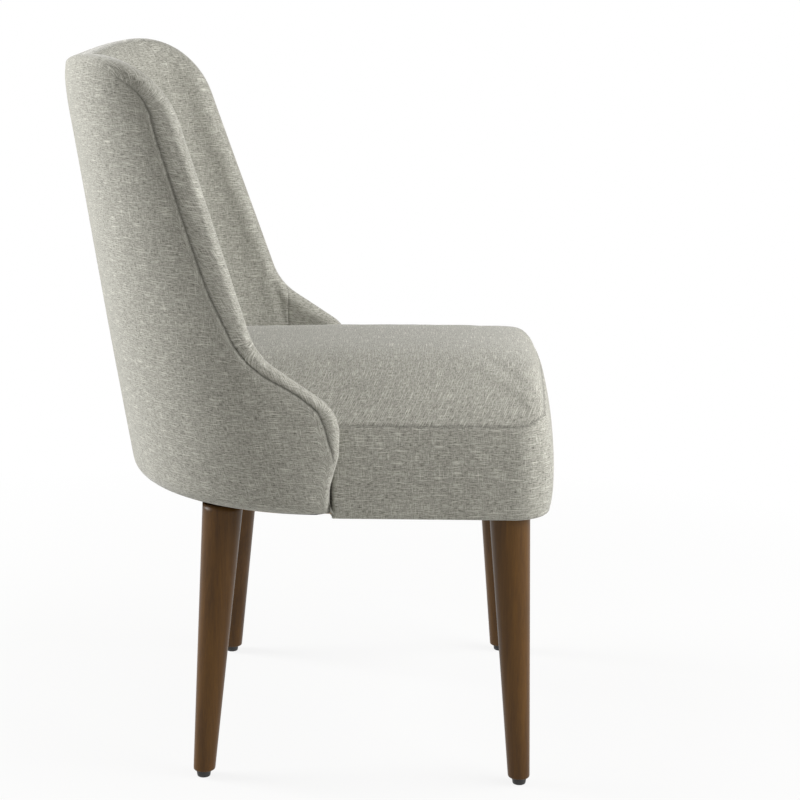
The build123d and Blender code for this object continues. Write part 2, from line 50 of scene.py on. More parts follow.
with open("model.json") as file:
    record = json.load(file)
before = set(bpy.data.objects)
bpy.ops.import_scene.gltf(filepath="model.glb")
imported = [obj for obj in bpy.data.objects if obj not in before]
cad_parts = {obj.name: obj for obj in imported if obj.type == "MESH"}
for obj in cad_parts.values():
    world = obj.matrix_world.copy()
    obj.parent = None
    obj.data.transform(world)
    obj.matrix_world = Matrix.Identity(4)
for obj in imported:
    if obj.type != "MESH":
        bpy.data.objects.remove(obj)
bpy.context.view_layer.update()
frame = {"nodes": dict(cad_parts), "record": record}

FULL_TURN = 2 * math.pi
QUARTER_TURN = math.pi / 2
ARC_POINTS = 40
EDGE_STEP = 0.005
BACK_COLUMNS = 181
FLANGE_REACH = (0.016, 0.010, 0.004)
SIM_FRAMES = 20
TINY = 1e-9
OUTWARDS, INWARDS = -1, 1


def length_property(name, description, default):
    """A length in metres that the user can change."""
    return FloatProperty(name=name, description=description, default=default, unit="LENGTH")


def angle_property(name, description, degrees):
    """An angle that the user can change."""
    return FloatProperty(name=name, description=description, default=math.radians(degrees), unit="ROTATION")


def colour_property(name, description, default):
    """A colour that the user can change."""
    return FloatVectorProperty(
        name=name, description=description, default=default, subtype="COLOR", size=3, min=0.0, max=1.0
    )


class SideChairSizes(PropertyGroup):
    """Sizes of the covers and legs, in metres and radians."""

    underside: length_property("Underside", "Height of the hem above the floor", 0.336)
    back_top: length_property("Back top", "Height of the back's top edge", 0.865)
    rear_reach: length_property("Rear reach", "Rear of the back at the hem", 0.222)
    back_lean: angle_property("Back lean", "Lean of the back's rear line", 8.9)
    cheek_reach: length_property("Cheek reach", "Where the straight cheeks start to curve", -0.017)
    cheek_lean: angle_property("Cheek lean", "Lean of the line where the cheeks curve", 21.5)
    shell_hem: length_property("Shell hem", "Height of the back's lower edge", 0.3395)
    band_hem: length_property("Band hem", "Height of the seat band's lower edge", 0.3325)
    shell_hem_radius: length_property("Shell hem radius", "Roundness of the back's lower edge", 0.016)
    band_hem_radius: length_property("Band hem radius", "Roundness of the band's lower edge", 0.006)
    seam_width: length_property("Seam width", "Width of the dip beside a seam", 0.0038)
    seam_depth: length_property("Seam depth", "Depth of the dip at a seam", 0.0019)
    wing_seam: length_property("Wing seam", "Where the wing panels are sewn on", 0.041)
    band_end: length_property("Band end", "Where the seat band folds in beside the wings", -0.0345)
    seat_half_width: length_property("Seat half width", "Half the seat's width at its belly", 0.248)
    seat_front: length_property("Seat front", "Front of the seat on the centre line", -0.303)
    seat_bow: length_property("Seat bow", "How far the seat's front bows", 0.010)
    seat_corner: length_property("Seat corner", "Radius of the seat's front corners", 0.045)
    seat_edge: length_property("Seat edge", "Height of the side seam above the hem", 0.108)
    seat_crown: length_property("Seat crown", "Rise of the seat above its side seam", 0.0579)
    leg_top: length_property("Leg top", "Diameter of a leg at the hem", 0.049)
    leg_foot: length_property("Leg foot", "Diameter of a leg at its foot", 0.0265)
    glide_height: length_property("Glide height", "Height of a glide", 0.0085)


class SideChairColours(PropertyGroup):
    """Colours of the chair's finishes."""

    thread_light: colour_property("Light thread", "Lightest thread of the weave", (0.60, 0.594, 0.530))
    thread_dark: colour_property("Dark thread", "Darkest thread of the weave", (0.12, 0.116, 0.098))
    leg_light: colour_property("Light grain", "Lighter grain of the stained legs", (0.124, 0.057, 0.010))
    leg_dark: colour_property("Dark grain", "Darker grain of the stained legs", (0.038, 0.016, 0.004))
    glide: colour_property("Glide", "Colour of the plastic glides", (0.016, 0.015, 0.014))
    dust_cloth: colour_property("Dust cloth", "Colour of the cloth under the seat", (0.014, 0.014, 0.014))


def sizes():
    """The sizes that the user can change."""
    return bpy.context.scene.side_chair_sizes


def colours():
    """The colours that the user can change."""
    return bpy.context.scene.side_chair_colours


# Lines and fades


def unit(vector):
    """A vector's direction."""
    return vector / np.linalg.norm(vector)


def falling(distance, reach):
    """1 at an edge, falling evenly to 0 at a reach from it."""
    return np.clip(1 - distance / reach, 0, 1)


def rising(distance, reach):
    """0 at an edge, rising evenly to 1 at a reach from it."""
    return np.clip(distance / reach, 0, 1)


def running(steps, axis=0):
    """Running totals of steps along an axis, with nothing at the first place."""
    return np.cumsum(np.insert(steps, 0, 0, axis=axis), axis=axis)


def run_lengths(line):
    """Distance along a line of points, counted from its first point."""
    return running(np.linalg.norm(np.diff(line, axis=0), axis=1))


def evened(line, count):
    """A line of points read off again at evenly spaced places."""
    length = run_lengths(line)
    even = np.linspace(0, length[-1], count)
    return np.column_stack([np.interp(even, length, values) for values in line.T])


def rounded_path(corners, radii, step):
    """Straight runs through corners, each corner replaced by an arc that touches both its runs."""
    runs = [np.array([corners[0]])]
    for before, corner, after, radius in zip(corners, corners[1:], corners[2:], radii):
        corner = np.array(corner)
        inwards = unit(np.array(before) - corner)
        onwards = unit(np.array(after) - corner)
        half_angle = math.acos(float(np.dot(inwards, onwards))) / 2
        centre = corner + unit(inwards + onwards) * radius / math.sin(half_angle)
        ends = [corner + way * radius / math.tan(half_angle) - centre for way in (inwards, onwards)]
        first, last = (math.atan2(end[1], end[0]) for end in ends)
        sweep = (last - first + math.pi) % FULL_TURN - math.pi
        angles = first + sweep * np.linspace(0, 1, ARC_POINTS)
        runs.append(centre + radius * np.column_stack((np.cos(angles), np.sin(angles))))
    runs.append(np.array([corners[-1]]))
    path = np.concatenate(runs)
    return evened(path, int(run_lengths(path)[-1] / step) + 1)


# Shape of the back


def side_outline():
    """The back's edge seen from the side, from the wing's foot up to where the level top starts."""
    s = sizes()
    # Depth and height of each corner: the wing's foot, its nose, the hollow, the side and the top
    corners = [
        (-0.0316, s.shell_hem),
        (-0.0322, 0.372),
        (-0.0432, 0.4145),
        (-0.0438, 0.4647),
        (0.0525, 0.529),
        (0.1665, s.back_top),
        (0.400, s.back_top),
    ]
    radii = (0.050, 0.030, 0.050, 0.078, 0.108)
    path = rounded_path(corners, radii, EDGE_STEP)
    level_gap = 1e-7
    below_top = path[:, 1] < s.back_top - level_gap
    return path[: int(np.count_nonzero(below_top)) + 1]


def half_width(z):
    """Half the back's width at a level: one smooth cubic through four levels."""
    levels = (0.2975, 0.440, 0.600, 0.9035)
    widths = (0.2516, 0.268, 0.256, 0.2297)
    return np.polyval(np.polyfit(levels, widths, 3), z)


def rear_line(z):
    """Rear of the back on the centre line: a straight lean that eases forward below the top."""
    s = sizes()
    reach, most = 0.075, 0.007
    ease = most * rising(z - s.back_top + reach, reach) ** 2
    return s.rear_reach + math.tan(s.back_lean) * (z - s.underside) - ease


def cheek_line(z):
    """Where the straight cheeks turn into the rear curve."""
    s = sizes()
    return s.cheek_reach + math.tan(s.cheek_lean) * (z - s.underside)


def crest_inset(z):
    """Half the pad's thickness at its edge: slim at the arms, fuller at the top."""
    return np.interp(z, (0.40, 0.50, 0.62, 0.76), (0.0135, 0.0140, 0.0180, 0.0215))


def outer_rounding(z):
    """Depth over which the outer face turns into the ridge: a firm edge, a little softer at the top."""
    return np.interp(z, (0.400, 0.470, 0.760, 0.865), (0.006, 0.008, 0.008, 0.011))


def inner_rounding(z):
    """Depth over which the inner face rolls over towards the ridge: slim at the arms, fuller at the top."""
    return np.interp(z, (0.470, 0.600, 0.865), (0.013, 0.020, 0.032))


def seam_setback(z):
    """Distance from the ridge to the outer seam: a teardrop at the nose, widest up the side."""
    nose = ((0.390, 0.0), (0.400, 0.0015), (0.410, 0.006), (0.429, 0.0126), (0.442, 0.016), (0.460, 0.0176))
    hollow = ((0.480, 0.0145), (0.495, 0.0115), (0.527, 0.018))
    side = ((0.60, 0.0285), (0.66, 0.0295), (0.78, 0.0285))
    top = ((0.82, 0.0245), (0.85, 0.019), (0.865, 0.014))
    heights, widths = zip(*nose, *hollow, *side, *top)
    return np.interp(z, heights, widths)


def settled(points):
    """Points of the back with its top edge lowered a little towards the middle."""
    start, span, half, drop = 0.70, 0.165, 0.215, 0.010
    middle = np.clip(1 - (points[..., 0] / half) ** 2, 0, 1) ** 2
    lowered = points.copy()
    lowered[..., 2] -= drop * rising(points[..., 2] - start, span) ** 2 * middle
    return lowered


def back_point(bearing, z, inset):
    """Point of the back at a bearing from the rear: half an ellipse, then straight cheeks."""
    middle = crest_inset(z)
    turn = np.abs(bearing)
    curved = np.minimum(turn, QUARTER_TURN)
    straight = np.maximum(turn - QUARTER_TURN, 0)
    across = half_width(z) - inset
    along = rear_line(z) - cheek_line(z) - inset
    middle_along = rear_line(z) - cheek_line(z) - middle
    x = np.sign(bearing) * across * np.sin(curved)
    y = cheek_line(z) + along * np.cos(curved) - middle_along * straight
    return np.stack(np.broadcast_arrays(x, y, z), axis=-1)


def bearing_at(y, z):
    """Bearing at which the pad's middle surface reaches a depth on a level."""
    along = rear_line(z) - cheek_line(z) - crest_inset(z)
    share = (y - cheek_line(z)) / along
    return np.where(share > 0, np.arccos(np.clip(share, 0, 1)), QUARTER_TURN - share)


def plan_speed(bearing, z):
    """Length of plan covered for each radian of bearing."""
    across = half_width(z) - crest_inset(z)
    along = rear_line(z) - cheek_line(z) - crest_inset(z)
    turn = np.minimum(np.abs(bearing), QUARTER_TURN)
    return np.hypot(across * np.cos(turn), along * np.sin(turn))


def clustered(count):
    """Numbers from -1 to 1 that crowd towards both ends."""
    return np.sin(QUARTER_TURN * np.linspace(-1, 1, count))


def smoothed(values):
    """Values along a line averaged with their neighbours, so that corners in them turn into curves."""
    neighbours = 11
    window = np.hanning(neighbours)[1:-1]
    ends = len(window) // 2
    return np.convolve(np.pad(values, ends, mode="edge"), window / window.sum(), mode="valid")


def crest_loop(columns):
    """The ridge of the rolled edge from the left foot over the top to the right foot.

    Gives bearing, level, inward direction on the unrolled pad (along, up) and the number of side points.
    """
    side = side_outline()
    side_bearing = bearing_at(side[:, 0], side[:, 1])
    count = len(side)
    top = clustered(columns)[::-1][1:-1] * side_bearing[-1]
    bearing = np.concatenate((side_bearing, top, -side_bearing[::-1]))
    level = np.concatenate((side[:, 1], np.full(len(top), side[-1, 1]), side[::-1, 1]))
    speed = plan_speed(bearing, level)
    place = running(np.hypot(np.diff(bearing) * speed[1:], np.diff(level)))
    along = np.gradient(bearing, place) * speed
    up = np.gradient(level, place)
    length = np.hypot(along, up)
    return bearing, level, -up / length, along / length, count


def offset_curve(bearing, level, along, up, distance):
    """A curve moved over the unrolled pad by a distance along given directions."""
    return bearing + along * distance / plan_speed(bearing, level), level + up * distance


def nearest(points, line):
    """Distance from each point to a line of straight runs, and the number of the line's nearest point."""
    flat = points.reshape(-1, 3)
    size = (line**2).sum(axis=1)
    block = 4000
    blocks = [flat[start : start + block] for start in range(0, len(flat), block)]
    index = np.concatenate([(size[None, :] - 2 * part @ line.T).argmin(axis=1) for part in blocks])
    distance = np.full(len(flat), np.inf)
    for step in (-1, 1):
        run = line[np.clip(index + step, 0, len(line) - 1)] - line[index]
        length = np.maximum((run**2).sum(axis=1), TINY**2)
        share = np.clip(((flat - line[index]) * run).sum(axis=1) / length, 0, 1)
        foot = line[index] + share[:, None] * run
        distance = np.minimum(distance, np.linalg.norm(flat - foot, axis=1))
    return distance.reshape(points.shape[:-1]), index.reshape(points.shape[:-1])


def round_over(distance, depth):
    """Quarter ellipse that rises from 0 at an edge to 1 at a depth."""
    return np.sqrt(1 - falling(distance, depth) ** 2)


def seam_dip(distance):
    """Dip beside a seam: deepest at the seam and gone within the seam's width."""
    s = sizes()
    return s.seam_depth * falling(distance, s.seam_width) ** 2


def painted_seam_shade(distance):
    """Painted shade in a seam's groove: full at the stitches and gone just beside them."""
    stitch_width = 0.0022
    return falling(distance, stitch_width)


def row_lengths(points):
    """Distance along each row of a grid, counted from its middle column."""
    along = running(np.linalg.norm(np.diff(points, axis=1), axis=2), axis=1)
    middle = along[:, points.shape[1] // 2]
    return along - middle[:, None]


def column_lengths(z, inset):
    """Distance up each column of a grid, climbing and moving in or out, from its first row."""
    return z[:1] + running(np.hypot(np.diff(z, axis=0), np.diff(inset, axis=0)))


def laid_out(along, up):
    """Weave layout of a grid's points: how far along and how far up each one lies."""
    return np.stack(np.broadcast_arrays(along, up), axis=-1).reshape(-1, 2)


# Meshes


def cell_faces(index):
    """Four-cornered faces between rows and columns of numbered points."""
    corners = (index[:-1, :-1], index[:-1, 1:], index[1:, 1:], index[1:, :-1])
    return np.stack(corners, axis=-1).reshape(-1, 4)


def grid_faces(rows, columns):
    """Faces of a grid whose points are numbered row by row."""
    return cell_faces(np.arange(rows * columns).reshape(rows, columns))


def joined_strip(first, start, rows):
    """Faces between a line of existing points and rows of new points numbered from a start."""
    new = start + np.arange(rows * len(first)).reshape(rows, len(first))
    return cell_faces(np.concatenate((first[None, :], new)))


def ring_faces(rows, segments):
    """Faces of a tube of rings, each ring closed on itself."""
    index = np.arange(rows * segments).reshape(rows, segments)
    return cell_faces(np.column_stack((index, index[:, :1])))


def make_piece(name, points, faces, weave, painted_shade=None):
    """A smooth mesh piece with its weave laid out in metres and the painted shade of its seams."""
    mesh = bpy.data.meshes.new(name)
    mesh.from_pydata(points.tolist(), [], [list(face) for face in faces])
    mesh.polygons.foreach_set("use_smooth", np.ones(len(mesh.polygons), dtype=bool))
    corner = np.empty(len(mesh.loops), dtype=np.int32)
    mesh.loops.foreach_get("vertex_index", corner)
    layer = mesh.uv_layers.new(name="weave")
    layer.data.foreach_set("uv", weave[corner].astype(np.float32).ravel())
    # Painted shade along the seams, kept per point so that the cover material darkens its colour there.
    shade = mesh.attributes.new("painted_shade", "FLOAT", "POINT")
    shade.data.foreach_set("value", np.zeros(len(points)) if painted_shade is None else painted_shade)
    mesh.update()
    piece = bpy.data.objects.new(name, mesh)
    bpy.context.scene.collection.objects.link(piece)
    return piece


def mesh_points(mesh):
    """Places of a mesh's points as one array."""
    places = np.empty(len(mesh.vertices) * 3)
    mesh.vertices.foreach_get("co", places)
    return places.reshape(-1, 3)


def thinned(count):
    """Every third number up to a count, and the last one."""
    stride = 3
    return np.unique(np.append(np.arange(0, count, stride), count - 1))


def spread_weights(count, picked):
    """Weights that read values at picked places off again at every place between them."""
    return np.array([np.interp(np.arange(count), picked, peak) for peak in np.eye(len(picked))]).T


def swell(points, held, outwards, pressure, most):
    """Blows a sewn panel up like filled fabric and gives its moved points.

    A coarser copy of the panel's grid is simulated with its seams held. Its movement is limited,
    read off again on the fine grid and smoothed.
    """
    rows = thinned(points.shape[0])
    columns = thinned(points.shape[1])
    coarse = points[np.ix_(rows, columns)]
    faces = grid_faces(*coarse.shape[:2])[:, ::outwards]
    mesh = bpy.data.meshes.new("fill")
    mesh.from_pydata(coarse.reshape(-1, 3).tolist(), [], faces.tolist())
    panel = bpy.data.objects.new("fill", mesh)
    scene = bpy.context.scene
    scene.collection.objects.link(panel)
    group = panel.vertex_groups.new(name="seams")
    group.add(np.flatnonzero(held[np.ix_(rows, columns)].ravel()).tolist(), 1.0, "REPLACE")
    cloth = panel.modifiers.new("fill", "CLOTH")
    cloth.settings.quality = 5
    cloth.settings.mass = 0.3
    cloth.settings.tension_stiffness = 15
    cloth.settings.compression_stiffness = 15
    cloth.settings.shear_stiffness = 5
    cloth.settings.bending_stiffness = 0.5
    cloth.settings.vertex_group_mass = "seams"
    cloth.settings.use_pressure = True
    cloth.settings.uniform_pressure_force = pressure
    cloth.settings.effector_weights.gravity = 0
    cloth.collision_settings.use_collision = False
    cloth.point_cache.frame_start = 1
    cloth.point_cache.frame_end = SIM_FRAMES
    for number in range(1, SIM_FRAMES + 1):
        scene.frame_set(number)
    graph = bpy.context.evaluated_depsgraph_get()
    after = mesh_points(panel.evaluated_get(graph).data).reshape(coarse.shape)
    bpy.data.objects.remove(panel)
    bpy.data.meshes.remove(mesh)
    scene.frame_set(1)
    move = after - coarse
    length = np.linalg.norm(move, axis=2, keepdims=True)
    move = move * most * np.tanh(length / most) / np.maximum(length, TINY)
    move = np.einsum("ir,rck->ick", spread_weights(points.shape[0], rows), move)
    move = np.einsum("jc,ick->ijk", spread_weights(points.shape[1], columns), move)
    smooth_rounds = 3
    for _ in range(smooth_rounds):
        padded = np.pad(move, ((1, 1), (1, 1), (0, 0)), mode="edge")
        move = (padded[:-2, 1:-1] + padded[2:, 1:-1] + padded[1:-1, :-2] + padded[1:-1, 2:]) / 4
    move[held] = 0
    return points + move


def place_piece(piece, material, slot, *nodes):
    """Common end of every piece: its material, body and replaced solids; the slot is not used."""
    piece.data.materials.append(material)
    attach(piece, "root")
    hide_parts(*nodes)


def finish_soft(piece, nodes):
    """Common end of every padded cover."""
    place_piece(piece, fabric_material(), "upholstery", *nodes)


# Materials


COLOUR_A, COLOUR_B, COLOUR_RESULT = 6, 7, 2
WHITE = (1, 1, 1, 1)


def new_material(name):
    """An empty node material, its node tree and its shader."""
    material = bpy.data.materials.new(name)
    material.use_nodes = True
    tree = material.node_tree
    return material, tree, tree.nodes["Principled BSDF"]


def join(tree, value, socket):
    """Links a socket to an input, or sets the input to a plain value."""
    if isinstance(value, bpy.types.NodeSocket):
        tree.links.new(value, socket)
    else:
        socket.default_value = value


def set_node(tree, node, **values):
    """A node with some of its properties and inputs set, or its inputs linked, by name."""
    for name, value in values.items():
        if hasattr(node, name):
            setattr(node, name, value)
        else:
            join(tree, value, node.inputs[name.replace("_", " ")])
    return node


def add_node(tree, kind, **values):
    """A new node, set by name."""
    return set_node(tree, tree.nodes.new(kind), **values)


def maths(tree, operation, *values):
    """Result of a calculation with sockets and plain numbers."""
    node = add_node(tree, "ShaderNodeMath", operation=operation)
    for value, socket in zip(values, node.inputs):
        join(tree, value, socket)
    return node.outputs[0]


def blend(tree, factor, low, high):
    """A colour between two colours, each a socket or a plain colour."""
    mix = add_node(tree, "ShaderNodeMix", data_type="RGBA", Factor=factor)
    join(tree, low, mix.inputs[COLOUR_A])
    join(tree, high, mix.inputs[COLOUR_B])
    return mix.outputs[COLOUR_RESULT]


def stretched_noise(tree, vector, scale, detail, rough=0.55):
    """Noise whose blotches are stretched by different scales along and across."""
    mapping = add_node(tree, "ShaderNodeMapping", Vector=vector, Scale=scale)
    place = mapping.outputs["Vector"]
    noise = add_node(tree, "ShaderNodeTexNoise", Vector=place, Scale=1.0, Detail=detail, Roughness=rough)
    return noise.outputs["Fac"]


def bright_flecks(tree, vector, scale, start, end):
    """Only the crests of a stretched noise: 0 below a start, 1 above an end."""
    noise = stretched_noise(tree, vector, scale, detail=0.0)
    crest = add_node(tree, "ShaderNodeMapRange", Value=noise, From_Min=start, From_Max=end)
    return crest.outputs[0]


def weighted_sum(tree, parts, base):
    """Adds values, each about a half, times weights to a base."""
    total = base - sum(weight for _, weight in parts) / 2
    for value, weight in parts:
        total = maths(tree, "MULTIPLY_ADD", value, weight, total)
    return total


def shared_group(name, inputs, outputs, fill):
    """A shader group with named inputs and outputs, built once by a function that fills it."""
    if name in bpy.data.node_groups:
        return bpy.data.node_groups[name]
    tree = bpy.data.node_groups.new(name, "ShaderNodeTree")
    for direction, sockets in (("INPUT", inputs), ("OUTPUT", outputs)):
        for label, kind in sockets.items():
            tree.interface.new_socket(label, in_out=direction, socket_type=f"NodeSocket{kind}")
    results = fill(tree, tree.nodes.new("NodeGroupInput").outputs)
    set_node(tree, tree.nodes.new("NodeGroupOutput"), **results)
    return tree


def fill_slub_weave(tree, given):
    """Plain weave with slubs: short fat flecks along the weft, fewer along the warp, over a fine grain. Along
    the seams the colour is darkened towards near-black as painted shade.
    """
    vector = given["Vector"]
    weft = stretched_noise(tree, vector, (150, 1050, 1), detail=1.0)
    warp = stretched_noise(tree, vector, (1050, 150, 1), detail=1.0)
    parts = (
        (weft, 0.84),
        (warp, 0.64),
        (stretched_noise(tree, vector, (1300, 1300, 1), detail=0.0), 0.53),
        (stretched_noise(tree, vector, (14, 14, 1), detail=2.0), 0.10),
        (bright_flecks(tree, vector, (44, 1000, 7), start=0.60, end=0.78), 0.42),
        (bright_flecks(tree, vector, (1000, 50, 5), start=0.64, end=0.80), 0.26),
        (bright_flecks(tree, vector, (220, 900, 3), start=0.58, end=0.74), -0.25),
    )
    mean_shade = 0.63
    woven = blend(tree, weighted_sum(tree, parts, mean_shade), given["Dark thread"], given["Light thread"])
    # Painted shade: the colour is pulled towards near-black where the seams' grooves would be in shade.
    seam_shade = maths(tree, "MULTIPLY", given["Crease"], 0.36)
    painted_shade_colour = (0.03, 0.028, 0.024, 1)
    relief = [(weft, 0.5), (warp, 0.35)]
    for axis in "YX":
        thread = add_node(tree, "ShaderNodeTexWave", bands_direction=axis, Scale=230.0, Vector=vector)
        relief.append((thread.outputs["Fac"], 0.2))
    return {"Color": blend(tree, seam_shade, woven, painted_shade_colour), "Height": weighted_sum(tree, relief, 0.5)}


def slub_weave_group():
    """The weave of every cover, with painted shade along its seams."""
    inputs = {"Vector": "Vector", "Light thread": "Color", "Dark thread": "Color", "Crease": "Float"}
    return shared_group("Slub weave", inputs, {"Color": "Color", "Height": "Float"}, fill_slub_weave)


FINISH_INPUTS = {"Vector": "Vector", "Light": "Color", "Dark": "Color", "Roughness": "Float"}
FINISH_OUTPUTS = {"Color": "Color", "Roughness": "Float", "Height": "Float"}


def fill_wood_grain(tree, given):
    """Straight grain: long streaks up the piece, fine pores and slow clouds."""
    vector = given["Vector"]
    streak = stretched_noise(tree, vector, (110, 110, 5), detail=4.0, rough=0.6)
    pore = stretched_noise(tree, vector, (900, 900, 30), detail=2.0)
    cloud = stretched_noise(tree, vector, (14, 14, 6), detail=2.0)
    shade = weighted_sum(tree, ((streak, 1.1), (pore, 0.5), (cloud, 0.6)), 0.5)
    waver = weighted_sum(tree, ((pore, 0.2), (cloud, 0.12)), 0.0)
    return {
        "Color": blend(tree, shade, given["Dark"], given["Light"]),
        "Roughness": maths(tree, "ADD", waver, given["Roughness"]),
        "Height": pore,
    }


def fill_speckle(tree, given):
    """A fine even speckle whose colour and roughness waver a little."""
    noise = add_node(
        tree, "ShaderNodeTexNoise", Vector=given["Vector"], Scale=given["Scale"], Detail=3.0, Roughness=0.55
    )
    fine = noise.outputs["Fac"]
    waver = weighted_sum(tree, ((fine, 0.15),), 0.0)
    return {
        "Color": blend(tree, fine, given["Dark"], given["Light"]),
        "Roughness": maths(tree, "ADD", waver, given["Roughness"]),
        "Height": fine,
    }


def fabric_material():
    """The chair's cover: grey slub weave with a soft sheen and painted shade along its seams."""
    if "cover fabric" in bpy.data.materials:
        return bpy.data.materials["cover fabric"]
    material, tree, shader = new_material("cover fabric")
    weave = add_node(
        tree,
        "ShaderNodeGroup",
        node_tree=slub_weave_group(),
        Vector=add_node(tree, "ShaderNodeUVMap", uv_map="weave").outputs["UV"],
        Crease=add_node(tree, "ShaderNodeAttribute", attribute_name="painted_shade").outputs["Fac"],
        Light_thread=(*colours().thread_light, 1),
        Dark_thread=(*colours().thread_dark, 1),
    )
    bump = add_node(tree, "ShaderNodeBump", Strength=0.35, Distance=0.0008, Height=weave.outputs["Height"])
    set_node(
        tree,
        shader,
        Base_Color=weave.outputs["Color"],
        Normal=bump.outputs["Normal"],
        Roughness=0.92,
        Specular_IOR_Level=0.2,
        Sheen_Weight=0.3,
        Sheen_Roughness=0.4,
    )
    return material


def grouped_finish(name, group, bump_strength, bump_size, **values):
    """A material whose colour, roughness and fine relief come from one of the groups."""
    material, tree, shader = new_material(name)
    place = tree.nodes.new("ShaderNodeTexCoord").outputs["Object"]
    finish = add_node(tree, "ShaderNodeGroup", node_tree=group, Vector=place, **values).outputs
    height = finish["Height"]
    bump = add_node(tree, "ShaderNodeBump", Strength=bump_strength, Distance=bump_size, Height=height)
    normal = bump.outputs["Normal"]
    set_node(tree, shader, Base_Color=finish["Color"], Roughness=finish["Roughness"], Normal=normal)
    return material, shader


def grained_wood(name, light, dark, rough):
    """Straight-grained wood with a satin surface."""
    group = shared_group("Wood grain", FINISH_INPUTS, FINISH_OUTPUTS, fill_wood_grain)
    values = {"Light": (*light, 1), "Dark": (*dark, 1), "Roughness": rough}
    material, shader = grouped_finish(name, group, bump_strength=0.2, bump_size=0.0002, **values)
    shader.inputs["Specular IOR Level"].default_value = 0.22
    return material


def speckled(name, colour, rough, scale, spread):
    """A plain finish whose colour and roughness waver a little."""
    inputs = {**FINISH_INPUTS, "Scale": "Float"}
    group = shared_group("Speckle", inputs, FINISH_OUTPUTS, fill_speckle)
    light = [min(1.0, part * (1 + spread)) for part in colour]
    dark = [part * (1 - spread) for part in colour]
    values = {"Scale": scale, "Light": (*light, 1), "Dark": (*dark, 1), "Roughness": rough}
    return grouped_finish(name, group, bump_strength=0.15, bump_size=0.0003, **values)


# Covers


def back_edge(columns):
    """The ridge of the back's edge and the outer seam beside it, also on the unrolled pad."""
    bearing, level, along, up, count = crest_loop(columns)
    setback = smoothed(seam_setback(level))
    seam_bearing, seam_level = offset_curve(bearing, level, along, up, setback)
    ridge_points, seam_points = 3000, 2500
    ridge = evened(back_point(bearing, level, crest_inset(level)), ridge_points)
    seam_line = back_point(seam_bearing, seam_level, 0.0)
    seam = evened(seam_line, seam_points)
    return SimpleNamespace(
        bearing=bearing,
        level=level,
        along=along,
        up=up,
        setback=setback,
        count=count,
        seam_bearing=seam_bearing,
        seam_level=seam_level,
        ridge=ridge,
        seam=seam,
        seam_strength=seam_strength(setback, level)[nearest(seam, seam_line)[1]],
    )


def outer_inset(gap, z):
    """How far the outer face lies inside the pad's outer line: it leans in, then rounds over at the ridge."""
    depth, reach = 0.004, 0.032
    lean = depth * falling(gap, reach) ** 1.5
    return crest_inset(z) - (crest_inset(z) - lean) * round_over(gap, outer_rounding(z))


def inner_inset(gap, z):
    """How far the inner face lies inside the pad's outer line: it swells behind the ridge."""
    return crest_inset(z) * (1 + round_over(gap, inner_rounding(z)))


def seam_strength(setback, level):
    """How strongly the outer seam shows in its dip and its painted shade: it fades where it meets the ridge
    and towards the top.
    """
    full_setback, top_fade = 0.010, 0.055
    return rising(setback, full_setback) * rising(sizes().back_top - level, top_fade)


def make_outer_panel():
    """Outer cover: rows from seam to seam, dipping at the seam and turned under at the hem."""
    s = sizes()
    edge = back_edge(BACK_COLUMNS)
    side_z = np.maximum.accumulate(edge.seam_level[: edge.count])
    side_b = edge.seam_bearing[: edge.count]
    low = s.shell_hem + s.shell_hem_radius
    row_gap, hem_rows = 0.002, 9
    keep = side_z > low + row_gap
    turn = np.linspace(0, QUARTER_TURN, hem_rows)
    turned_under = len(FLANGE_REACH) + len(turn)
    hem_b = np.interp(low, side_z, side_b)
    flange_in = s.shell_hem_radius + np.array(FLANGE_REACH)
    hem_in = s.shell_hem_radius * (1 - np.sin(turn))
    hem_z = s.shell_hem + s.shell_hem_radius * (1 - np.cos(turn))
    rows_z = np.concatenate((np.full(len(FLANGE_REACH), s.shell_hem), hem_z, side_z[keep]))
    rows_b = np.concatenate((np.full(turned_under, hem_b), side_b[keep]))
    tuck = np.concatenate((flange_in, hem_in, np.zeros(int(np.count_nonzero(keep)))))
    grid_b = rows_b[:, None] * clustered(BACK_COLUMNS)[None, :]
    grid_z = np.broadcast_to(rows_z[:, None], grid_b.shape)
    to_ridge, _ = nearest(back_point(grid_b, grid_z, crest_inset(grid_z)), edge.ridge)
    to_seam, place = nearest(back_point(grid_b, grid_z, 0.0), edge.seam)
    strength = edge.seam_strength[place]
    dip = seam_dip(to_seam) * strength
    inset = tuck[:, None] + outer_inset(to_ridge, grid_z)
    points = settled(back_point(grid_b, grid_z, inset + dip))
    held = to_seam < s.seam_width
    held[:turned_under] = True
    weave = laid_out(row_lengths(points), column_lengths(grid_z, inset))
    points = swell(points, held, OUTWARDS, pressure=1.5, most=0.003)
    faces = grid_faces(*grid_b.shape)[:, ::OUTWARDS]
    # Painted shade along the outer seam, faded like its dip.
    painted_shade = (painted_seam_shade(to_seam) * strength).ravel()
    piece = make_piece("back_outer_panel", points.reshape(-1, 3), faces, weave, painted_shade)
    finish_soft(piece, ("back_outer_cover", "back_outer_wadding"))


def edge_roll(edge, part):
    """Rolled edge from the ridge to the outer seam: rows of points and their painted seam shade."""
    roll_rows = 12
    quarter = np.linspace(0, 1, roll_rows + 1)[1:]
    setback = edge.setback[part][None, :]
    distance = setback * (1 - np.cos(QUARTER_TURN * quarter))[:, None]
    places = (values[part][None, :] for values in (edge.bearing, edge.level, edge.along, edge.up))
    b, z = offset_curve(*places, distance)
    strength = seam_strength(setback, edge.level[part][None, :])
    points = settled(back_point(b, z, outer_inset(distance, z) + seam_dip(setback - distance) * strength))
    # Painted shade along the outer seam where the roll meets it.
    return points, painted_seam_shade(setback - distance) * strength


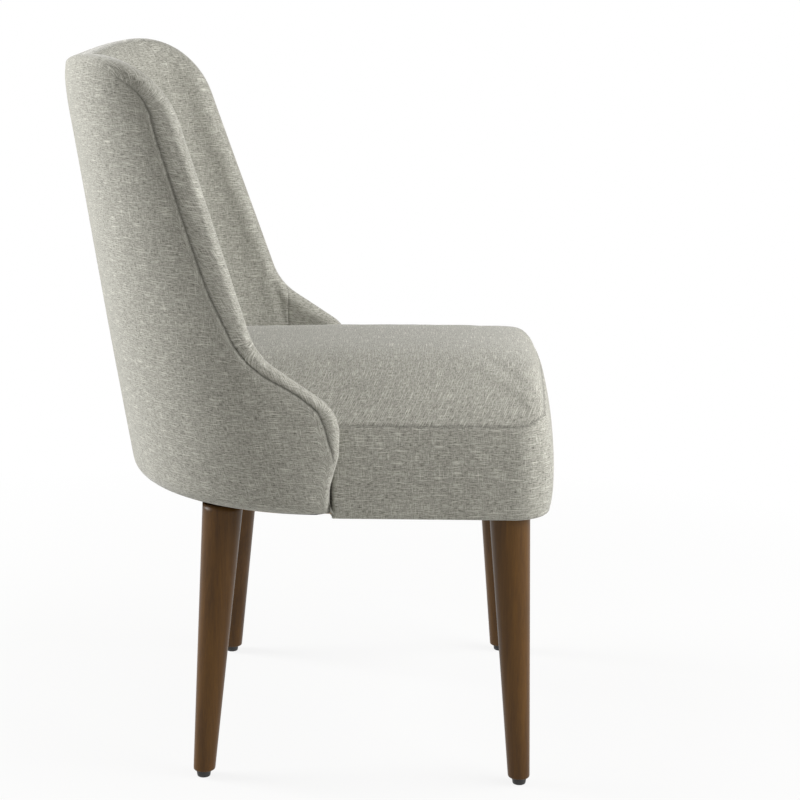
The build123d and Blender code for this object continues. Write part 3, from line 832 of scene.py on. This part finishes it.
def with_roll(name, points, rise, painted_shade, loop, part, edge, mirrored):
    """A panel of the inner cover joined to the rolled edge along a loop of its own points, with the painted
    shade of its seams.
    """
    rows, columns = points.shape[:2]
    weave = laid_out(row_lengths(points), rise)
    roll, roll_painted_shade = edge_roll(edge, part)
    lines = np.concatenate((points.reshape(-1, 3)[loop][None], roll))
    over = np.cumsum(np.linalg.norm(np.diff(lines, axis=0), axis=2), axis=0)
    inwards = np.stack((edge.along[part], edge.up[part]), axis=-1)
    roll_weave = weave[loop][None] - inwards[None] * over[..., None]
    side = np.array((-1, 1, 1)) if mirrored else np.ones(3)
    all_points = np.concatenate((points.reshape(-1, 3), roll.reshape(-1, 3))) * side
    all_weave = np.concatenate((weave, roll_weave.reshape(-1, 2)))
    all_painted_shade = np.concatenate((painted_shade.ravel(), roll_painted_shade.ravel()))
    strip = joined_strip(loop, rows * columns, len(roll))[:, ::-1]
    faces = np.concatenate((grid_faces(rows, columns), strip))
    faces = faces[:, ::-1] if mirrored else faces
    return make_piece(name, all_points, faces, all_weave, all_painted_shade)


def make_inner_panels():
    """Inner cover and wing covers, each running over the rolled edge to the outer seam."""
    s = sizes()
    edge = back_edge(BACK_COLUMNS)
    side_z = edge.level[: edge.count]
    side_b = edge.bearing[: edge.count]
    seam_b = bearing_at(np.full(edge.count, s.wing_seam), side_z)
    tip = int(np.argmax(side_b < seam_b))
    seam_b = np.minimum(seam_b, side_b)
    pad, ridge_fade, dip_share, painted_shade_share = 0.030, 0.015, 0.35, 0.3
    seam_points = 400
    seam_line = evened(back_point(seam_b[: tip + 1], side_z[: tip + 1], pad), seam_points)

    def inner_face(grid_b, grid_z):
        """Points of the inner face, with a shallow dip at the wing seams that dies out at the ridge."""
        to_ridge, _ = nearest(back_point(grid_b, grid_z, crest_inset(grid_z)), edge.ridge)
        to_seam, _ = nearest(back_point(np.abs(grid_b), grid_z, pad), seam_line)
        dip = dip_share * seam_dip(to_seam) * round_over(to_ridge, ridge_fade)
        inset = inner_inset(to_ridge, grid_z)
        points = settled(back_point(grid_b, grid_z, inset - dip))
        return points, column_lengths(grid_z, inset), to_ridge, to_seam

    hidden, hidden_rows = 0.40, 5
    first = int(np.argmax(side_z > hidden))
    grid_b = seam_b[first:, None] * clustered(BACK_COLUMNS)[None, :]
    grid_z = np.broadcast_to(side_z[first:, None], grid_b.shape)
    points, rise, to_ridge, to_seam = inner_face(grid_b, grid_z)
    held = (to_ridge < s.seam_width) | (to_seam < s.seam_width)
    held[:hidden_rows] = True
    points = swell(points, held, INWARDS, pressure=2.0, most=0.003)
    number = np.arange(grid_b.size).reshape(grid_b.shape)
    sides = number[tip - first :]
    loop = np.concatenate((sides[:, -1], number[-1, ::-1][1:-1], sides[::-1, 0]))
    # Painted shade along the wing seams, at a fraction of full strength.
    painted_shade = painted_shade_share * painted_seam_shade(to_seam)
    part = slice(tip, len(edge.bearing) - tip)
    piece = with_roll("back_inner_panel", points, rise, painted_shade, loop, part, edge, False)
    finish_soft(piece, ("back_inner_cover", "back_inner_foam"))

    wing_columns = 60
    share = np.sin(QUARTER_TURN * np.linspace(0, 1, wing_columns))
    grid_b = seam_b[: tip + 1, None] + (side_b - seam_b)[: tip + 1, None] * share[None, :]
    grid_z = np.broadcast_to(side_z[: tip + 1, None], grid_b.shape)
    points, rise, _, to_seam = inner_face(grid_b, grid_z)
    # The same painted shade along the wing seams on the wing panels.
    painted_shade = painted_shade_share * painted_seam_shade(to_seam)
    loop = np.arange(grid_b.size).reshape(grid_b.shape)[:, -1]
    for name, mirrored in (("left_wing", False), ("right_wing", True)):
        piece = with_roll(f"{name}_panel", points, rise, painted_shade, loop, slice(0, tip + 1), edge, mirrored)
        finish_soft(piece, (f"{name}_cover",))


# Seat


SIDE_DRAW = 0.010
FRONT_DRAW = 0.0025
PLAN_POINTS = 800
REAR_POINTS = 400
CROSS_POWER = 3.2


def seat_outline(columns):
    """Plan of the seat at its belly, from its left rear fold round the front, and lengths along it."""
    s = sizes()
    half = s.seat_half_width
    front = s.seat_front + s.seat_bow
    fold, fold_depth, fold_length, step = 0.002, 0.010, 0.035, 0.002
    folded = half - fold_depth
    left = [(folded, s.band_end + fold_length), (folded, s.band_end), (half, s.band_end), (half, front)]
    corners = left + [(-x, y) for x, y in reversed(left)]
    path = rounded_path(corners, (fold, fold, s.seat_corner, s.seat_corner, fold, fold), step)
    near = falling(path[:, 1] - front, s.seat_corner)
    path[:, 1] -= s.seat_bow * (1 - (path[:, 0] / half) ** 2) * near
    return evened(path, columns), np.linspace(0, run_lengths(path)[-1], columns)


def band_line(inwards, columns):
    """The seat's plan drawn in by a distance; the folded ends only move sideways."""
    path, _ = seat_outline(columns)
    slope = np.gradient(path, axis=0)
    normal = np.column_stack((slope[:, 1], -slope[:, 0])) / np.linalg.norm(slope, axis=1, keepdims=True)
    fold_start = 0.006
    folded = path[:, 1] > sizes().band_end - fold_start
    normal[folded] = np.column_stack((-np.sign(path[folded, 0]), np.zeros(int(np.count_nonzero(folded)))))
    return path + normal * np.broadcast_to(inwards, (columns,))[:, None]


def seat_roof(x, y):
    """Height of the crowned seat: a broad dome that falls steeply at the front and gently at the rear."""
    s = sizes()
    front = s.seat_front + s.seat_bow * (x / s.seat_half_width) ** 2
    behind = np.maximum(y - front - SIDE_DRAW - FRONT_DRAW - s.seam_depth, 0)
    front_fall, front_reach = 0.36, 0.0078
    rear_fall, rear_start, rear_reach = 0.38, 0.12, 0.44
    share = 1 - front_fall * np.exp(-behind / front_reach)
    share = share - rear_fall * rising(behind - rear_start, rear_reach) ** 2
    across = 1 - rising(np.abs(x), s.seat_half_width - SIDE_DRAW) ** CROSS_POWER
    return s.underside + s.seat_edge + s.seat_crown * share * across


def band_draw_in(climb, columns):
    """How far the seat's band is drawn in, from the hem (0) to the seam (1): it swells at its belly.

    The front, where the seam climbs, is drawn in further than the sides.
    """
    s = sizes()
    path, _ = seat_outline(columns)
    near = falling(path[:, 1] - s.seat_front - s.seat_bow, s.seat_corner)
    across = 1 - rising(np.abs(path[:, 0]), s.seat_half_width) ** CROSS_POWER
    belly, foot_draw = 0.36, 0.0035
    below = foot_draw * falling(climb, belly) ** 3
    above = rising(climb - belly, 1 - belly) ** 2
    return below + (SIDE_DRAW + FRONT_DRAW * near * across) * above


def make_seat_band():
    """Boxing band: rows from the flange under the seat up to the seam, with folded ends."""
    s = sizes()
    columns = 361
    seam = band_line(band_draw_in(1.0, columns) + s.seam_depth, columns)
    seam_z = seat_roof(seam[:, 0], seam[:, 1]) - s.seam_depth
    foot = band_draw_in(0.0, columns)
    belly, length = seat_outline(columns)
    lift, lift_reach, seam_rows, fold_columns = 0.012, 0.010, 8, 22
    hem = s.band_hem + lift * rising(belly[:, 1] - s.band_end, lift_reach)
    low = hem + s.band_hem_radius
    rows = [(foot + s.band_hem_radius + reach, hem) for reach in FLANGE_REACH]
    hem_rows, side_rows, crowding = 6, 45, 1.6
    for turn in np.linspace(0, QUARTER_TURN, hem_rows + 1)[:-1]:
        level = hem + s.band_hem_radius * (1 - math.cos(turn))
        rows.append((foot + s.band_hem_radius * (1 - math.sin(turn)), level))
    turned_under = len(rows)
    for climb in 1 - (1 - np.linspace(0, 1, side_rows)) ** crowding:
        level = low + (seam_z - low) * climb
        rows.append((band_draw_in(climb, columns) + seam_dip(seam_z - level), level))
    points = np.array([np.column_stack((band_line(inwards, columns), level)) for inwards, level in rows])
    weave = laid_out(length[None, :], points[..., 2])
    held = np.zeros(points.shape[:2], dtype=bool)
    held[: turned_under + 1] = True
    held[-seam_rows:] = True
    held[:, :fold_columns] = True
    held[:, -fold_columns:] = True
    points = swell(points, held, OUTWARDS, pressure=1.5, most=0.002)
    faces = grid_faces(*points.shape[:2])[:, ::OUTWARDS]
    # Painted shade along the band's top seam.
    painted_shade = painted_seam_shade(seam_z[None, :] - points[..., 2]).ravel()
    piece = make_piece("seat_band_panel", points.reshape(-1, 3), faces, weave, painted_shade)
    finish_soft(piece, ("seat_band_cover", "seat_wadding"))


def closed_plan(inwards, level, back_inset):
    """Closed plan line of the seat: its drawn-in front and sides, then the inside of the back."""
    s = sizes()
    front = band_line(inwards, PLAN_POINTS)
    margin = 0.0005
    front = front[front[:, 1] < s.band_end - margin]
    turn = np.linspace(-QUARTER_TURN, QUARTER_TURN, REAR_POINTS)
    rear = back_point(turn, np.full(REAR_POINTS, level), back_inset)[:, :2]
    return np.concatenate((front, rear))


def polar_grid(line, centre, spread):
    """Square rings shrunk from a closed plan line to a centre: x, y and the ring of each point."""
    a, b = np.broadcast_arrays(spread[None, :], spread[:, None])
    ring = np.maximum(np.abs(a), np.abs(b))
    angle = np.mod(np.arctan2(b, a), FULL_TURN)
    line_angle = np.mod(np.arctan2(line[:, 1] - centre[1], line[:, 0] - centre[0]), FULL_TURN)
    order = np.argsort(line_angle)
    reach = np.linalg.norm(line - centre, axis=1)[order]
    radius = np.interp(angle, line_angle[order], reach, period=FULL_TURN)
    return centre[0] + ring * radius * np.cos(angle), centre[1] + ring * radius * np.sin(angle), ring


def make_seat_top():
    """Crowned top: square rings shrunk from the seam to the middle, lifted onto the dome."""
    s = sizes()
    count = 141
    inwards = band_draw_in(1.0, PLAN_POINTS) + s.seam_depth
    above_edge, back_inset, centre = 0.030, 0.026, np.array((0.0, -0.06))
    line = closed_plan(inwards, s.underside + s.seat_edge + above_edge, back_inset)
    x, y, _ = polar_grid(line, centre, clustered(count))
    flat = np.stack((x, y, np.zeros_like(x)), axis=-1)
    gap, _ = nearest(flat, np.column_stack((line, np.zeros(len(line)))))
    tuck_depth, tuck_reach, seam_end, front_stretch = 0.012, 0.022, 0.020, 0.6
    loose = rising(y - s.band_end, seam_end)
    tuck = tuck_depth * falling(gap, tuck_reach) ** 2
    z = seat_roof(x, y) - (1 - loose) * seam_dip(gap) - loose * tuck
    points = np.stack((x, y, z), axis=-1)
    weave = laid_out(x, y + front_stretch * (z - z.max()))
    points = swell(points, gap < s.seam_width, INWARDS, pressure=2.5, most=0.004)
    # Painted shade along the seam round the seat top.
    painted_shade = painted_seam_shade(gap).ravel()
    piece = make_piece("seat_top_panel", points.reshape(-1, 3), grid_faces(count, count), weave, painted_shade)
    finish_soft(piece, ("seat_top_cover", "seat_foam"))


def make_dust_cover():
    """Black cloth stretched under the seat: a flat sheet that sags a little between its edges."""
    s = sizes()
    count = 81
    drawn_in, back_inset, centre = 0.020, 0.0195, np.array((0.0, -0.04))
    lift, sag = 0.0011, 0.003
    line = closed_plan(drawn_in, s.underside, back_inset)
    x, y, ring = polar_grid(line, centre, np.linspace(-1, 1, count))
    z = s.underside + lift - sag * (1 - ring**2)
    points = np.stack((x, y, z), axis=-1).reshape(-1, 3)
    faces = grid_faces(count, count)[:, ::-1]
    piece = make_piece("dust_cloth", points, faces, laid_out(x, y))
    material, _ = speckled("dust cloth", colours().dust_cloth, rough=0.95, scale=900.0, spread=0.5)
    place_piece(piece, material, "dust_cloth", "dust_cover")


# Legs


LEG_NAMES = ("front_left", "front_right", "rear_left", "rear_right")
PIN_RADIUS = 0.0005
EASE_POINTS = 6


def eased_edge(radius, level, ease):
    """Profile of a rounded lower edge."""
    turns = np.linspace(0, QUARTER_TURN, EASE_POINTS)
    return [(radius - ease + ease * math.sin(turn), level + ease * (1 - math.cos(turn))) for turn in turns]


def turned(profile, foot, top, segments):
    """A profile of (radius, height) turned about the line from a foot to a top."""
    radius, height = np.array(profile).T
    turn = np.linspace(0, FULL_TURN, segments, endpoint=False)
    middle = foot[None, :] + (top - foot)[None, :] * ((height - foot[2]) / (top[2] - foot[2]))[:, None]
    ring = np.stack((np.cos(turn), np.sin(turn), np.zeros(segments)), axis=-1)
    return middle[:, None, :] + radius[:, None, None] * ring[None, :, :]


def leg_line(name):
    """Foot and top of a leg's middle line, read from its solid's ends."""
    low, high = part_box(f"{name}_leg")
    mesh = mesh_points(frame["nodes"][f"{name}_leg"].data)
    near = 1e-4
    ends = []
    for z in (low.z, high.z):
        slice_points = mesh[np.abs(mesh[:, 2] - z) < near]
        middle = (slice_points.min(axis=0) + slice_points.max(axis=0)) / 2
        ends.append(np.array((middle[0], middle[1], z)))
    return ends


def turned_piece(name, points, material, slot, node):
    """A turned piece that stands for one solid."""
    rows, segments = points.shape[:2]
    weave = laid_out(np.linspace(0, 1, segments)[None, :], points[..., 2])
    ring = np.arange(segments)
    caps = [ring[::-1], (rows - 1) * segments + ring]
    piece = make_piece(name, points.reshape(-1, 3), [*ring_faces(rows, segments), *caps], weave)
    place_piece(piece, material, slot, node)


def make_legs():
    """Four turned legs: a straight taper with an eased foot."""
    s = sizes()
    material = grained_wood("stained leg", colours().leg_light, colours().leg_dark, rough=0.36)
    ease, segments, rings = 0.002, 72, 40
    low = s.leg_foot / 2
    for name in LEG_NAMES:
        foot, top = leg_line(name)
        taper = (s.leg_top - s.leg_foot) / 2 / (top[2] - foot[2])
        heights = np.linspace(foot[2] + 2 * ease, top[2], rings)
        profile = [(PIN_RADIUS, foot[2]), (low - 2 * ease, foot[2])]
        profile += eased_edge(low, foot[2], ease)
        profile += [(low + taper * (height - foot[2]), height) for height in heights]
        profile += [(s.leg_top / 2 - ease, top[2]), (PIN_RADIUS, top[2])]
        points = turned(profile, foot, top, segments)
        turned_piece(f"{name}_turned_leg", points, material, "leg_wood", f"{name}_leg")


def make_glides():
    """Four nail-on glides: a low plastic dome with a rounded edge and a recess for the nail's head."""
    s = sizes()
    material, _ = speckled("glide plastic", colours().glide, rough=0.5, scale=500.0, spread=0.3)
    recess = [(0.0026, 0.0025), (0.0034, 0.0004), (0.0040, 0.0)]
    foot_radius, top_radius, ease, segments = 0.008, 0.0090, 0.0015, 48
    rim_height, rim_width = 0.0005, 0.0004
    high = s.glide_height
    for name in LEG_NAMES:
        near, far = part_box(f"{name}_glide")
        middle = np.array(((near.x + far.x) / 2, (near.y + far.y) / 2, 0.0))
        top = middle + np.array((0, 0, high))
        profile = recess + eased_edge(foot_radius, 0.0, ease)
        profile += [(top_radius, high - rim_height), (top_radius - rim_width, high), (PIN_RADIUS, high)]
        points = turned(profile, middle, top, segments)
        turned_piece(f"{name}_dome_glide", points, material, "glide_plastic", f"{name}_glide")


def dress_frame():
    """Finishes of the hidden frame, plywood and fasteners, which keep their solids."""
    finishes = {
        "frame_wood": grained_wood("frame wood", (0.52, 0.36, 0.20), (0.36, 0.23, 0.12), rough=0.6),
        "plywood": grained_wood("bent plywood", (0.56, 0.42, 0.26), (0.42, 0.29, 0.16), rough=0.65),
    }
    steel, shader = speckled("zinc steel", (0.55, 0.56, 0.58), rough=0.35, scale=300.0, spread=0.15)
    shader.inputs["Metallic"].default_value = 1.0
    finishes["steel"] = steel
    for entry in frame["record"]["subparts"]:
        material = finishes.get(entry["material_slot"])
        if material is not None:
            node = frame["nodes"][entry["node"]]
            node.data.materials.clear()
            node.data.materials.append(material)


# Studio


def seen_white(tree):
    """1 for rays that should find a white ground: from the camera, in a reflection or through glass."""
    path = tree.nodes.new("ShaderNodeLightPath")
    total = path.outputs["Is Camera Ray"]
    for name in ("Is Glossy Ray", "Is Transmission Ray"):
        total = maths(tree, "MAXIMUM", total, path.outputs[name])
    return total


def mixed_surface(tree, factor, first, second, output):
    """Sends a mix of two shaders to a tree's output."""
    mix = tree.nodes.new("ShaderNodeMixShader")
    for value, socket in zip((factor, first.outputs[0], second.outputs[0]), mix.inputs):
        tree.links.new(value, socket)
    tree.links.new(mix.outputs[0], tree.nodes[output].inputs["Surface"])


def studio_material(name):
    """Pale matt floor with a soft shadow near the chair, fading to white with distance."""
    material, tree, shader = new_material(name)
    set_node(tree, shader, Base_Color=(0.56, 0.56, 0.55, 1), Roughness=0.9)
    light = add_node(tree, "ShaderNodeEmission", Color=WHITE, Strength=1.0)
    far = add_node(tree, "ShaderNodeVectorMath", operation="LENGTH")
    tree.links.new(tree.nodes.new("ShaderNodeTexCoord").outputs["Object"], far.inputs[0])
    fade = add_node(tree, "ShaderNodeMapRange", From_Min=0.5, From_Max=1.3, To_Min=0.86, To_Max=1.0)
    tree.links.new(far.outputs["Value"], fade.inputs["Value"])
    seen = maths(tree, "MULTIPLY", seen_white(tree), fade.outputs["Result"])
    mixed_surface(tree, seen, shader, light, "Material Output")
    return material


def add_area(name, place, target, width, height, power):
    """A large soft lamp that faces a target."""
    lamp = bpy.data.lights.new(name, "AREA")
    lamp.shape = "RECTANGLE"
    lamp.size = width
    lamp.size_y = height
    lamp.energy = power
    lamp_object = bpy.data.objects.new(name, lamp)
    lamp_object.location = place
    lamp_object.rotation_euler = (Vector(target) - Vector(place)).to_track_quat("-Z", "Y").to_euler()
    bpy.context.scene.collection.objects.link(lamp_object)


def make_camera():
    """The photo's view: from the chair's right side, a little above it."""
    place = (-2.512, -0.101, 1.003)
    focal_length, picture_width, sensor_width = 2017, 800, 36.0
    yaw, pitch, roll = (math.radians(angle) for angle in (-0.3, 13.05, 0.66))
    forward = Vector((math.cos(yaw) * math.cos(pitch), math.sin(yaw) * math.cos(pitch), -math.sin(pitch)))
    right = forward.cross(Vector((0, 0, 1))).normalized()
    up = right.cross(forward)
    tilted_right = right * math.cos(roll) + up * math.sin(roll)
    tilted_up = up * math.cos(roll) - right * math.sin(roll)
    turn = Matrix((tilted_right, tilted_up, -forward)).transposed().to_4x4()
    camera = bpy.data.cameras.new("view")
    camera.sensor_width = sensor_width
    camera.lens = sensor_width * focal_length / picture_width
    camera.clip_end = 50
    holder = bpy.data.objects.new("view", camera)
    holder.matrix_world = Matrix.Translation(place) @ turn
    bpy.context.scene.collection.objects.link(holder)
    bpy.context.scene.camera = holder


def make_studio():
    """Pale floor, white surroundings and three soft lamps."""
    scene = bpy.context.scene
    scene.view_settings.view_transform = "Standard"
    reach = 6.0
    corners = [(-reach, -reach, 0), (reach, -reach, 0), (reach, reach, 0), (-reach, reach, 0)]
    floor = bpy.data.meshes.new("studio_floor")
    floor.from_pydata(corners, [], [(0, 1, 2, 3)])
    floor.materials.append(studio_material("studio floor"))
    floor_object = bpy.data.objects.new("studio_floor", floor)
    scene.collection.objects.link(floor_object)
    world = bpy.data.worlds.new("studio")
    world.use_nodes = True
    tree = world.node_tree
    around = set_node(tree, tree.nodes["Background"], Color=(1, 0.968, 0.915, 1), Strength=0.33)
    seen = add_node(tree, "ShaderNodeBackground", Color=WHITE, Strength=1.0)
    mixed_surface(tree, seen_white(tree), around, seen, "World Output")
    scene.world = world
    middle = (0, 0, 0.45)
    add_area("fill light", (-0.1, -1.1, 1.35), middle, width=0.8, height=0.8, power=11)
    add_area("key light", (-0.65, -1.8, 1.05), middle, width=1.6, height=1.0, power=33)
    add_area("rear light", (0.33, 2.4, 1.7), middle, width=1.2, height=1.4, power=104)
    make_camera()


# Operators


class ChairStep:
    """What every operator does: it calls its own function."""

    def execute(self, context):
        self.build()
        return {"FINISHED"}


class SIDECHAIR_OT_outer_panel(ChairStep, Operator):
    """Makes the outer back cover"""

    bl_idname = "side_chair.outer_panel"
    bl_label = "Outer Back Panel"
    build = staticmethod(make_outer_panel)


class SIDECHAIR_OT_inner_panels(ChairStep, Operator):
    """Makes the inner back cover and the wing covers"""

    bl_idname = "side_chair.inner_panels"
    bl_label = "Inner Panels"
    build = staticmethod(make_inner_panels)


class SIDECHAIR_OT_seat_band(ChairStep, Operator):
    """Makes the seat's boxing band"""

    bl_idname = "side_chair.seat_band"
    bl_label = "Seat Band"
    build = staticmethod(make_seat_band)


class SIDECHAIR_OT_seat_top(ChairStep, Operator):
    """Makes the seat's crowned top"""

    bl_idname = "side_chair.seat_top"
    bl_label = "Seat Top"
    build = staticmethod(make_seat_top)


class SIDECHAIR_OT_dust_cloth(ChairStep, Operator):
    """Makes the cloth under the seat"""

    bl_idname = "side_chair.dust_cloth"
    bl_label = "Dust Cloth"
    build = staticmethod(make_dust_cover)


class SIDECHAIR_OT_legs(ChairStep, Operator):
    """Makes the turned legs"""

    bl_idname = "side_chair.legs"
    bl_label = "Legs"
    build = staticmethod(make_legs)


class SIDECHAIR_OT_glides(ChairStep, Operator):
    """Makes the glides under the legs"""

    bl_idname = "side_chair.glides"
    bl_label = "Glides"
    build = staticmethod(make_glides)


class SIDECHAIR_OT_frame_finish(ChairStep, Operator):
    """Gives the hidden frame its finishes"""

    bl_idname = "side_chair.frame_finish"
    bl_label = "Frame Finishes"
    build = staticmethod(dress_frame)


class SIDECHAIR_OT_studio(ChairStep, Operator):
    """Makes the floor, lamps and camera"""

    bl_idname = "side_chair.studio"
    bl_label = "Studio"
    build = staticmethod(make_studio)


STEPS = (
    SIDECHAIR_OT_outer_panel,
    SIDECHAIR_OT_inner_panels,
    SIDECHAIR_OT_seat_band,
    SIDECHAIR_OT_seat_top,
    SIDECHAIR_OT_dust_cloth,
    SIDECHAIR_OT_legs,
    SIDECHAIR_OT_glides,
    SIDECHAIR_OT_frame_finish,
    SIDECHAIR_OT_studio,
)


class SIDECHAIR_PT_panel(Panel):
    """Lists the chair's sizes, colours and steps"""

    bl_label = "Side Chair"
    bl_idname = "SIDECHAIR_PT_panel"
    bl_space_type = "VIEW_3D"
    bl_region_type = "UI"
    bl_category = "Side Chair"

    def draw(self, context):
        layout = self.layout
        for group in (context.scene.side_chair_sizes, context.scene.side_chair_colours):
            column = layout.column(align=True)
            for name in group.__annotations__:
                column.prop(group, name)
        for step in STEPS:
            layout.operator(step.bl_idname)


CLASSES = (SideChairSizes, SideChairColours, *STEPS, SIDECHAIR_PT_panel)


def register():
    for item in CLASSES:
        bpy.utils.register_class(item)
    bpy.types.Scene.side_chair_sizes = PointerProperty(type=SideChairSizes)
    bpy.types.Scene.side_chair_colours = PointerProperty(type=SideChairColours)


def unregister():
    del bpy.types.Scene.side_chair_colours
    del bpy.types.Scene.side_chair_sizes
    for item in reversed(CLASSES):
        bpy.utils.unregister_class(item)


def main():
    """Registers the add-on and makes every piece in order."""
    register()
    bpy.ops.side_chair.outer_panel()
    bpy.ops.side_chair.inner_panels()
    bpy.ops.side_chair.seat_band()
    bpy.ops.side_chair.seat_top()
    bpy.ops.side_chair.dust_cloth()
    bpy.ops.side_chair.legs()
    bpy.ops.side_chair.glides()
    bpy.ops.side_chair.frame_finish()
    bpy.ops.side_chair.studio()


if __name__ == "__main__":
    main()
